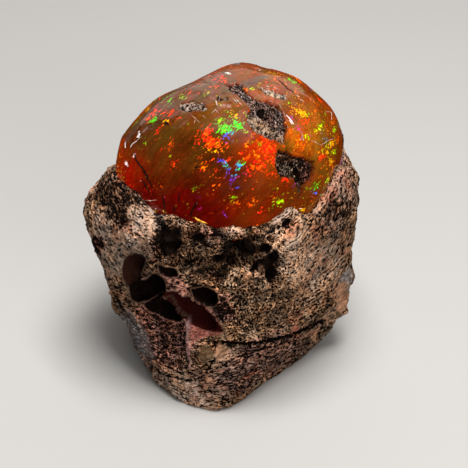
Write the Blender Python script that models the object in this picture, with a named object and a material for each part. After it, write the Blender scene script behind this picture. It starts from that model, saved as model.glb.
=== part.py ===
"""Rough fire opal: a translucent nodule still seated in the broken block of rhyolite that it grew in.

The parts are the opal, the block of matrix, and the crusts of matrix left stuck in hollows of the opal.
Frame: +Z up, -Y is the display side, origin under the middle of the box on the surface the block stands on.
Blender units are metres. Sizes below are in millimetres and go through MM.
"""

import math
from collections import namedtuple

import bmesh
import bpy
from mathutils import Matrix, Vector, noise

MM = 0.001
FIT_GAP = 0.35 * MM  # between the opal, the block and each crust

# A body is a lumpy ball: its centre, and its skin's distance from there in any direction.
Body = namedtuple("Body", "centre radius_towards")

# A swell or dip of a body's skin round a direction: spread in degrees, height in millimetres.
Swell = namedtuple("Swell", "name azimuth elevation spread height")

# A patch of a body's skin: where it is, how long and wide, how far its long side is rolled from level,
# how much wider one end is than the middle, and how deep it goes. Degrees and millimetres.
Patch = namedtuple("Patch", "name azimuth elevation length width roll taper depth")

# The opal: an uneven ball, taller above its seat than below it.
OPAL_CENTRE = Vector((0.0, -0.5, 33.0)) * MM
OPAL_HALF_WIDTH = 18.1 * MM
OPAL_HALF_DEPTH = 18.0 * MM
OPAL_RISE = 16.5 * MM
OPAL_SEAT_DEPTH = 9.5 * MM
OPAL_GRID = 12  # quads along one side of the cube that is blown up into the ball
OPAL_RIPPLE = 0.45 * MM
OPAL_SWELLS = (
    Swell("right_shoulder", 18, 28, 34, 1.3),
    Swell("right_front_flat", -40, 18, 24, -0.6),
    Swell("right_foot", -5, -6, 20, -0.5),
    Swell("saddle", 138, 50, 20, -1.9),
    Swell("top_knoll", 75, 62, 20, 0.4),
    Swell("left_foot", 185, 4, 18, 0.35),
    Swell("back_hollow", 95, 18, 26, -0.9),
    Swell("back_left_knob", 128, 8, 16, 0.6),
)

# The crusts of matrix stuck in the opal, each in a pocket that follows the opal's skin.
CRUST_SINK = 0.55 * MM  # from the opal's skin down to a crust's edge
CRUST_CROWN = 0.4 * MM  # how far the middle of a crust stands above its edge
POCKET_REACH = 3.0 * MM  # how far a cutter reaches out past the skin
CRUSTS = (
    Patch("crust_upper", -58, 61, 13.4, 5.4, -77, 0.45, 1.5),
    Patch("crust_lower", -51, 24, 7.0, 5.3, -38, 0.1, 1.7),
    Patch("crust_left", -135, 60, 5.0, 2.2, 35, 0.1, 0.9),
    Patch("crust_small", -113, 71, 1.9, 1.1, 0, 0.0, 0.7),
    Patch("crust_top", -12, 62, 4.4, 2.0, -15, 0.2, 0.9),
)

# The block is bounded by broken faces, each facing an azimuth and a tilt at a distance from ROCK_CENTRE.
ROCK_CENTRE = Vector((-1.5, -1.0, 17.0)) * MM
ROCK_GRID = 26
ROCK_KEPT_FACES = 0.36  # share of its triangles that the block keeps, fewest where it is flat
EDGE_SHARPNESS = 18  # higher gives harder edges between the broken faces
Face = namedtuple("Face", "name azimuth tilt distance")
ROCK_FACES = (
    Face("left_upper", 180, -9, 20.9),
    Face("left_lower", 190, -28, 18.8),
    Face("left_front", 208, -7, 19.8),
    Face("right_upper", 0, -2, 22.2),
    Face("right_lower", -5, -30, 23.5),
    Face("front_left", 234, -8, 18.3),
    Face("front_right", -40, -15, 16.8),
    Face("front", -92, -1, 19.6),
    Face("back", 92, -4, 20.1),
    Face("back_left", 142, -9, 19.6),
    Face("back_right", 43, -12, 20.0),
    Face("back_lower", 100, -35, 21.0),
    Face("shoulder_left", 180, 48, 24.1),
    Face("shoulder_back_left", 140, 60, 19.6),
    Face("shoulder_right", 0, 25, 25.6),
    Face("shoulder_front_left", 225, 60, 22.3),
    Face("shoulder_front_right", -45, 60, 23.4),
    Face("top", 0, 90, 19.4),
)
ROCK_LUMPS = ((2.1, 1.1 * MM), (4.6, 0.55 * MM), (11.0, 0.45 * MM))  # (lumps per radius, height)
ROCK_SWELLS = (
    Swell("coarse_recess", -103, 28, 15, -0.8),
    Swell("coarse_recess_right", -82, 27, 11, -0.5),
    Swell("left_band", -133, 34, 9, 0.8),
    Swell("shoulder_hollow", -158, 34, 12, -0.8),
    Swell("cavity_field", -120, 8, 15, -0.9),
    Swell("plug", -98, -17, 6, 0.9),
    Swell("foot_left", -122, -34, 12, 0.6),
    Swell("right_knob", -4, -25, 6, 1.3),
    Swell("back_scar", 80, 10, 22, -1.4),
    Swell("back_ridge", 118, -5, 14, 1.0),
    Swell("right_scar", 10, 5, 16, -0.8),
)

SAW_CUT_WIDTH = 80 * MM
SAW_CUT_DEPTH = 50 * MM

# The flow bands run round the right side as low steps, parallel to the rim.
BAND_NORMAL = (-0.32, 0.1, 0.94)
BAND_SPACING = 4.4 * MM
BAND_HEIGHT = 0.42 * MM
BAND_AZIMUTHS = (-75, -50)  # the bands fade in between these

# Hollows and pits of the block.
HOLLOWS = (
    Patch("hollow_round", -135, 19, 4.4, 4.0, 70, 0.0, 2.4),
    Patch("hollow_middle", -128, 6, 6.2, 3.8, -15, 0.1, 2.6),
    Patch("hollow_low", -119, -2, 5.2, 2.6, -10, 0.0, 2.0),
    Patch("hollow_wedge", -104, 2, 9.8, 3.4, -32, -0.2, 2.8),
    Patch("hollow_upper", -98, 14, 5.2, 3.4, -50, 0.1, 2.2),
    Patch("hollow_slit", -114, 22, 3.4, 1.2, -15, 0.0, 1.4),
    Patch("hollow_back", 70, 12, 8.5, 4.4, 28, 0.2, 2.4),
    Patch("hollow_back_low", 112, -16, 5.5, 3.2, -20, 0.0, 2.0),
    Patch("hollow_side", 172, 2, 6.0, 3.4, 35, 0.2, 2.2),
    Patch("hollow_right", 14, -8, 5.0, 2.6, -25, 0.0, 1.7),
    Patch("ledge_crack", -72, -14, 13.0, 0.9, 6, -0.2, 2.3),
    Patch("ledge_crack_right", -40, -22, 11.5, 0.8, -16, 0.2, 1.8),
    Patch("left_crack", -145, -12, 7.0, 0.7, 62, 0.2, 1.4),
)
PITS = (
    Patch("pit_1", -113, 37, 2.6, 2.0, 20, 0.0, 1.3),
    Patch("pit_2", -104, 32, 2.2, 1.8, -30, 0.0, 1.2),
    Patch("pit_3", -94, 37, 2.9, 1.7, 10, 0.0, 1.3),
    Patch("pit_4", -84, 30, 2.4, 1.9, 40, 0.0, 1.2),
    Patch("pit_5", -112, 27, 1.9, 1.6, 0, 0.0, 1.0),
    Patch("pit_6", -95, 26, 2.4, 1.6, -20, 0.0, 1.1),
    Patch("pit_7", -76, 38, 2.2, 1.5, 15, 0.0, 1.0),
    Patch("pit_8", -150, 38, 3.0, 1.8, 60, 0.0, 1.3),
    Patch("pit_9", -164, 30, 2.4, 1.8, 20, 0.0, 1.1),
    Patch("pit_10", -152, 24, 2.1, 1.5, -40, 0.0, 1.0),
    Patch("pit_11", -60, 8, 2.6, 1.2, 25, 0.0, 0.9),
    Patch("pit_12", -44, 20, 2.8, 1.1, 25, 0.0, 0.9),
    Patch("pit_13", 48, 22, 2.8, 2.0, 0, 0.0, 1.2),
    Patch("pit_14", 98, 24, 2.6, 1.8, 35, 0.0, 1.2),
    Patch("pit_15", 142, 18, 3.0, 1.9, -30, 0.0, 1.3),
    Patch("pit_16", 40, -6, 2.4, 1.7, 10, 0.0, 1.1),
    Patch("pit_17", 140, -8, 2.6, 1.8, 50, 0.0, 1.1),
)


def direction_of(azimuth, elevation):
    """Unit vector at an azimuth from +X towards +Y and an elevation above the horizon, in degrees."""
    a, e = math.radians(azimuth), math.radians(elevation)
    return Vector((math.cos(a) * math.cos(e), math.sin(a) * math.cos(e), math.sin(e)))


def clear_scene():
    for obj in list(bpy.data.objects):
        bpy.data.objects.remove(obj)


def collection_named(name):
    made = bpy.data.collections.new(name)
    bpy.context.scene.collection.children.link(made)
    return made


def finish_material(name, colour, roughness, transmission=0.0, ior=1.5):
    material = bpy.data.materials.new(name)
    material.use_nodes = True
    shader = material.node_tree.nodes["Principled BSDF"]
    shader.inputs["Base Color"].default_value = (*colour, 1.0)
    shader.inputs["Roughness"].default_value = roughness
    shader.inputs["Metallic"].default_value = 0.0
    shader.inputs["Transmission Weight"].default_value = transmission
    shader.inputs["IOR"].default_value = ior
    return material


def blown_cube(grid, place):
    """A bmesh of a cube with grid quads to a side, each vertex moved to place(its unit direction)."""
    ball = bmesh.new()
    bmesh.ops.create_cube(ball, size=2.0)
    bmesh.ops.subdivide_edges(ball, edges=ball.edges, cuts=grid - 1, use_grid_fill=True)
    for vertex in ball.verts:
        # The tangent spreads the grid evenly over the ball.
        spread = Vector([math.tan(c * math.pi / 4) for c in vertex.co])
        vertex.co = place(spread.normalized())
    return ball


def object_from(made, name, collection, material=None):
    mesh = bpy.data.meshes.new(name)
    made.to_mesh(mesh)
    made.free()
    mesh.shade_smooth()
    mesh.set_sharp_from_angle(angle=math.radians(32))
    obj = bpy.data.objects.new(name, mesh)
    collection.objects.link(obj)
    if material:
        mesh.materials.append(material)
    return obj


def swelling(direction, swells):
    """The sum of the swells' heights at a direction."""
    total = 0.0
    for swell in swells:
        away = direction.angle(direction_of(swell.azimuth, swell.elevation))
        total += swell.height * MM * math.exp(-((away / math.radians(swell.spread)) ** 2))
    return total


def opal_radius(direction):
    height = OPAL_RISE if direction.z > 0 else OPAL_SEAT_DEPTH
    radius = 1 / math.sqrt(
        (direction.x / OPAL_HALF_WIDTH) ** 2
        + (direction.y / OPAL_HALF_DEPTH) ** 2
        + (direction.z / height) ** 2
    )
    ripple = noise.noise(direction * 3.1 + Vector((4.0, 1.0, 7.0)))
    return radius + swelling(direction, OPAL_SWELLS) + OPAL_RIPPLE * ripple


def band_step(point, azimuth):
    """Height of the flow bands at a point: each rises slowly and breaks off short."""
    start, full = BAND_AZIMUTHS
    shown = min(max((azimuth - start) / (full - start), 0.0), 1.0)
    turns = point.dot(Vector(BAND_NORMAL).normalized()) / BAND_SPACING
    along = turns - math.floor(turns)
    return BAND_HEIGHT * shown * (along / 0.7 if along < 0.7 else (1 - along) / 0.3)


def rock_radius(direction):
    """The block's broken faces, rounded where they meet, with lumps, swells and flow bands."""
    total = 0.0
    for face in ROCK_FACES:
        towards = direction.dot(direction_of(face.azimuth, face.tilt))
        if towards > 0:
            total += (towards / (face.distance * MM)) ** EDGE_SHARPNESS
    radius = total ** (-1 / EDGE_SHARPNESS)
    for frequency, height in ROCK_LUMPS:
        radius += height * noise.noise(direction * frequency + Vector((2.5, 0.0, 9.0)))
    radius += swelling(direction, ROCK_SWELLS)
    return radius + band_step(direction * radius, math.degrees(math.atan2(direction.y, direction.x)))


OPAL = Body(OPAL_CENTRE, opal_radius)
ROCK = Body(ROCK_CENTRE, rock_radius)


def ball_of(body, grid, grow=0.0):
    return blown_cube(grid, lambda d: body.centre + d * (body.radius_towards(d) + grow))


def skin_lens(body, patch, inside, outside, sink=0.0, grow=0.0, grid=4):
    """A closed lens that follows a body's skin over a patch: inside deep and outside high from sink below it."""
    out = direction_of(patch.azimuth, patch.elevation)
    east = Vector((0, 0, 1)).cross(out).normalized()
    along = Matrix.Rotation(math.radians(patch.roll), 3, out) @ east
    across = out.cross(along)
    reach = body.radius_towards(out)
    seed = Vector((patch.azimuth, patch.elevation, 3.0))

    def place(d):
        ragged = 1 + 0.22 * noise.noise(d * 1.9 + seed)
        u = d.x * ragged * patch.length * MM / 2
        v = d.y * ragged * (1 + patch.taper * d.x) * patch.width * MM / 2
        flat = Vector((u, v, 0))
        if flat.length > 0:
            flat += flat.normalized() * grow * math.hypot(d.x, d.y)
        lift = math.copysign(abs(d.z) ** 0.7, d.z) * (outside if d.z > 0 else inside)
        towards = (out + (along * flat.x + across * flat.y) / reach).normalized()
        return body.centre + towards * (body.radius_towards(towards) - sink + lift)

    return blown_cube(grid, place)


def saw_cut():
    """A slab whose top is the level that the block is sawn off at, so that it stands."""
    slab = bmesh.new()
    size = Matrix.Diagonal((SAW_CUT_WIDTH, SAW_CUT_WIDTH, SAW_CUT_DEPTH, 1.0))
    bmesh.ops.create_cube(slab, size=1.0, matrix=Matrix.Translation((0, 0, -SAW_CUT_DEPTH / 2)) @ size)
    return slab


def cutter_from(made, name, cutters):
    cutter = object_from(made, name, cutters)
    cutter.hide_render = True
    cutter.display_type = "WIRE"
    return cutter


def cut_by(obj, cutters):
    """Takes every cutter of a collection out of an object."""
    cut = obj.modifiers.new(cutters.name, "BOOLEAN")
    cut.operation = "DIFFERENCE"
    cut.operand_type = "COLLECTION"
    cut.collection = cutters


def add_opal(parts):
    finish = finish_material("fire_opal", (0.55, 0.14, 0.02), 0.08, 0.6, 1.45)
    opal = object_from(ball_of(OPAL, OPAL_GRID), "fire_opal", parts, finish)
    pockets = collection_named("opal_pockets")
    for crust in CRUSTS:
        depth = crust.depth * MM + FIT_GAP
        pocket = skin_lens(OPAL, crust, depth, POCKET_REACH, CRUST_SINK, FIT_GAP, grid=4)
        cutter_from(pocket, crust.name.replace("crust", "pocket"), pockets)
    cut_by(opal, pockets)


def add_crusts(parts):
    finish = finish_material("rhyolite_crust", (0.3, 0.24, 0.19), 0.92)
    for crust in CRUSTS:
        lens = skin_lens(OPAL, crust, crust.depth * MM, CRUST_CROWN, CRUST_SINK, grid=4)
        object_from(lens, "matrix_" + crust.name, parts, finish)


def add_block(parts):
    finish = finish_material("rhyolite", (0.24, 0.16, 0.11), 0.9)
    rock = object_from(ball_of(ROCK, ROCK_GRID), "rhyolite_matrix", parts, finish)
    thin_out = rock.modifiers.new("thin_out", "DECIMATE")
    thin_out.ratio = ROCK_KEPT_FACES
    hollows = collection_named("block_hollows")
    cutter_from(saw_cut(), "saw_cut", hollows)
    cutter_from(ball_of(OPAL, OPAL_GRID, FIT_GAP), "opal_socket", hollows)
    for patch in HOLLOWS:
        lens = skin_lens(ROCK, patch, patch.depth * MM, POCKET_REACH, grid=3)
        cutter_from(lens, patch.name, hollows)
    for patch in PITS:
        lens = skin_lens(ROCK, patch, patch.depth * MM, POCKET_REACH, grid=2)
        cutter_from(lens, patch.name, hollows)
    cut_by(rock, hollows)


def stand_on_origin():
    """Moves every mesh so that the parts' box is centred on the origin and stands on it."""
    bpy.context.view_layer.update()
    graph = bpy.context.evaluated_depsgraph_get()
    corners = [
        Vector(corner)
        for obj in bpy.data.objects
        if not obj.hide_render
        for corner in obj.evaluated_get(graph).bound_box
    ]
    low = Vector([min(c[axis] for c in corners) for axis in range(3)])
    high = Vector([max(c[axis] for c in corners) for axis in range(3)])
    middle = (low + high) / 2
    for obj in bpy.data.objects:
        obj.data.transform(Matrix.Translation((-middle.x, -middle.y, -low.z)))


def main():
    clear_scene()
    parts = collection_named("fire_opal_specimen")
    add_opal(parts)
    add_crusts(parts)
    add_block(parts)
    stand_on_origin()


main()
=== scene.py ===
"""Dresses the rough fire opal: the translucent nodule, the block of rhyolite that holds it, and a small studio.

The script is laid out as an add-on. Each operator builds one piece or one group of like pieces in metres, in the
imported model's own frame: +Z up, -Y the display side, the block standing on the origin.
"""

import math
from collections import namedtuple

import bmesh
import bpy
import numpy as np
from bpy.props import FloatProperty, FloatVectorProperty, IntProperty, PointerProperty
from mathutils import Matrix, Vector, noise
from mathutils.bvhtree import BVHTree


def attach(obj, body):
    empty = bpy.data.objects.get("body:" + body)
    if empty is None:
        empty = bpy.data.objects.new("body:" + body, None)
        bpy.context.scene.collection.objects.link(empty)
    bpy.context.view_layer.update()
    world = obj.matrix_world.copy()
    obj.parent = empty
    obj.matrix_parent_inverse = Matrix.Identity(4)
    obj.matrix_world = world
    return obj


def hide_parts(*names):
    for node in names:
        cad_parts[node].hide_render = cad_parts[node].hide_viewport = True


bl_info = {
    "name": "Rough Fire Opal",
    "version": (1, 0, 0),
    "blender": (4, 5, 0),
    "location": "3D View > Sidebar > Fire Opal",
    "description": "Builds a rough fire opal seated in its block of rhyolite, and a small studio round it",
    "category": "Add Mesh",
}

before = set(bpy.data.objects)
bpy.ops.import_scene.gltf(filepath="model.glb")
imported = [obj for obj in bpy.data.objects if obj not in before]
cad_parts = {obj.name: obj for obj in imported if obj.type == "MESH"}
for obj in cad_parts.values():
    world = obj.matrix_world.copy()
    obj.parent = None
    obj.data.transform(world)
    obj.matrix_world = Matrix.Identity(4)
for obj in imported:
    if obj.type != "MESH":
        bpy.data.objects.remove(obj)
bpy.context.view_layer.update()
MM = 0.001

# A swell or dip of the opal's skin round a direction: degrees, spread in degrees, height in millimetres.
Swell = namedtuple("Swell", "azimuth elevation spread height")
# A broken face: a plane that cuts the skin off, its middle this many millimetres below the skin.
Chip = namedtuple("Chip", "azimuth elevation depth")
# A zone of body colour round a direction of the opal, and its share there.
Zone = namedtuple("Zone", "azimuth elevation spread colour share")
# A patch of play of colour: degrees, then length and width in millimetres, roll from level, colour, density.
Fire = namedtuple("Fire", "azimuth elevation length width roll colour density")
# A mark on the display side: where it is on the display chart, length and width in millimetres, roll from level.
Spot = namedtuple("Spot", "across up length width roll")

OPAL_CENTRE = Vector((1.652, -0.130, 33.0)) * MM
OPAL_HALF_WIDTH = 18.1 * MM
OPAL_HALF_DEPTH = 18.0 * MM
OPAL_RISE = 16.5 * MM
OPAL_SEAT_DEPTH = 9.5 * MM
OPAL_RIPPLE = 0.45 * MM
OPAL_SWELLS = (
    Swell(18, 28, 34, 1.3),
    Swell(-40, 18, 24, -0.6),
    Swell(-5, -6, 20, -0.5),
    Swell(138, 50, 20, -1.9),
    Swell(75, 62, 20, 0.4),
    Swell(185, 4, 18, 0.35),
    Swell(95, 18, 26, -0.9),
    Swell(128, 8, 16, 0.6),
)
OPAL_DENT = Swell(-4, 8, 17, 1.4)  # where the opal draws in above the block
OPAL_CHIPS = (
    Chip(16, 47, 0.45),
    Chip(-8, 34, 0.40),
    Chip(52, 70, 0.40),
    Chip(-24, 18, 0.35),
    Chip(-33, 48, 0.25),
    Chip(-80, 80, 0.30),
    Chip(-152, 58, 0.35),
    Chip(165, 40, 0.35),
    Chip(100, 40, 0.45),
    Chip(60, 25, 0.45),
    Chip(135, 22, 0.35),
    Chip(20, 12, 0.35),
)

# Colours of the opal's body, as linear light.
BODY_COLOURS = {
    "amber": (0.42, 0.140, 0.010),
    "orange": (0.32, 0.060, 0.005),
    "flame": (0.50, 0.115, 0.005),
    "honey": (0.22, 0.074, 0.005),
    "brown": (0.110, 0.028, 0.003),
    "dark": (0.085, 0.014, 0.002),
    "ember": (0.20, 0.020, 0.002),
    "deep red": (0.120, 0.0025, 0.001),
    "red": (0.46, 0.010, 0.001),
    "scarlet": (0.58, 0.022, 0.002),
    # Milk and blush are partly the opal's paler body and partly a painted reflection of the overhead light.
    "milk": (0.30, 0.090, 0.029),
    "smoke": (0.100, 0.036, 0.014),
    "blush": (0.28, 0.082, 0.025),
    "olive": (0.120, 0.052, 0.006),
    "recess": (0.085, 0.015, 0.004),
    # The colour of the reflection of the overhead light, painted on the opal's upper left.
    "painted_reflection": (0.20, 0.105, 0.07),
    "ash": (0.17, 0.13, 0.12),
}
BODY_ZONES = (
    Zone(90, 25, 60, "orange", 0.9),
    Zone(-110, 37, 34, "brown", 0.95),
    Zone(-133, 27, 22, "brown", 0.7),
    Zone(-85, 23, 22, "dark", 0.9),
    Zone(-100, 64, 14, "honey", 0.9),
    Zone(-114, 7, 16, "deep red", 0.98),
    Zone(-96, 4, 15, "deep red", 0.9),
    Zone(-78, 9, 13, "ember", 0.85),
    Zone(-153, 9, 12, "red", 0.95),
    Zone(-134, 6, 12, "deep red", 0.9),
    Zone(-68, 37, 11, "scarlet", 0.9),
    Zone(-63, 26, 9, "ember", 0.8),
    Zone(-31, 36, 22, "amber", 0.95),
    Zone(-25, 16, 20, "brown", 0.5),
    Zone(-54, 14, 14, "brown", 0.75),
    Zone(-66, 14, 10, "ember", 0.5),
    # The milk and blush zones high on the opal are partly its paler body and partly a painted reflection of the
    # overhead light.
    Zone(29, 83, 26, "milk", 0.85),
    Zone(-176, 79, 16, "milk", 0.7),
    Zone(-167, 43, 16, "smoke", 0.9),
    Zone(-133, 45, 11, "olive", 0.7),
    Zone(-27, 56, 12, "blush", 0.85),
    Zone(24, 37, 14, "orange", 0.8),
    Zone(-41, 35, 9, "flame", 0.8),
)
# A painted reflection of the overhead light: a paler, hazy outline over the upper left of the display side, on the
# chart.
PAINTED_REFLECTION = ((-18.1, 14.8), (-17.0, 16.5), (-15.6, 18.3), (-14.1, 19.1), (-11.6, 19.4), (-9.4, 20.1), (-7.4, 20.7),
        (-4.9, 21.4), (-3.2, 22.3), (-2.5, 23.2), (-1.3, 23.9), (0.7, 24.2), (0.3, 27.2), (-4.9, 27.6),
        (-9.1, 25.9), (-12.8, 24.2), (-16.1, 21.2), (-18.8, 17.5))
SMEAR = ((0.7, 25.5), (2.0, 26.1), (3.7, 26.6), (5.4, 26.6), (6.0, 26.0), (4.7, 25.7), (3.0, 25.1), (1.5, 24.9))
# Colours of the play of colour, which the opal emits as painted light.
FIRE_COLOURS = {
    "green": (0.03, 0.72, 0.004),
    "lime": (0.34, 0.66, 0.002),
    "gold": (1.0, 0.36, 0.003),
    "orange": (1.0, 0.09, 0.002),
    "red": (1.0, 0.008, 0.002),
    "magenta": (0.75, 0.02, 0.20),
    "violet": (0.13, 0.02, 0.42),
    "blue": (0.02, 0.12, 1.0),
    "teal": (0.02, 0.40, 0.60),
}
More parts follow.
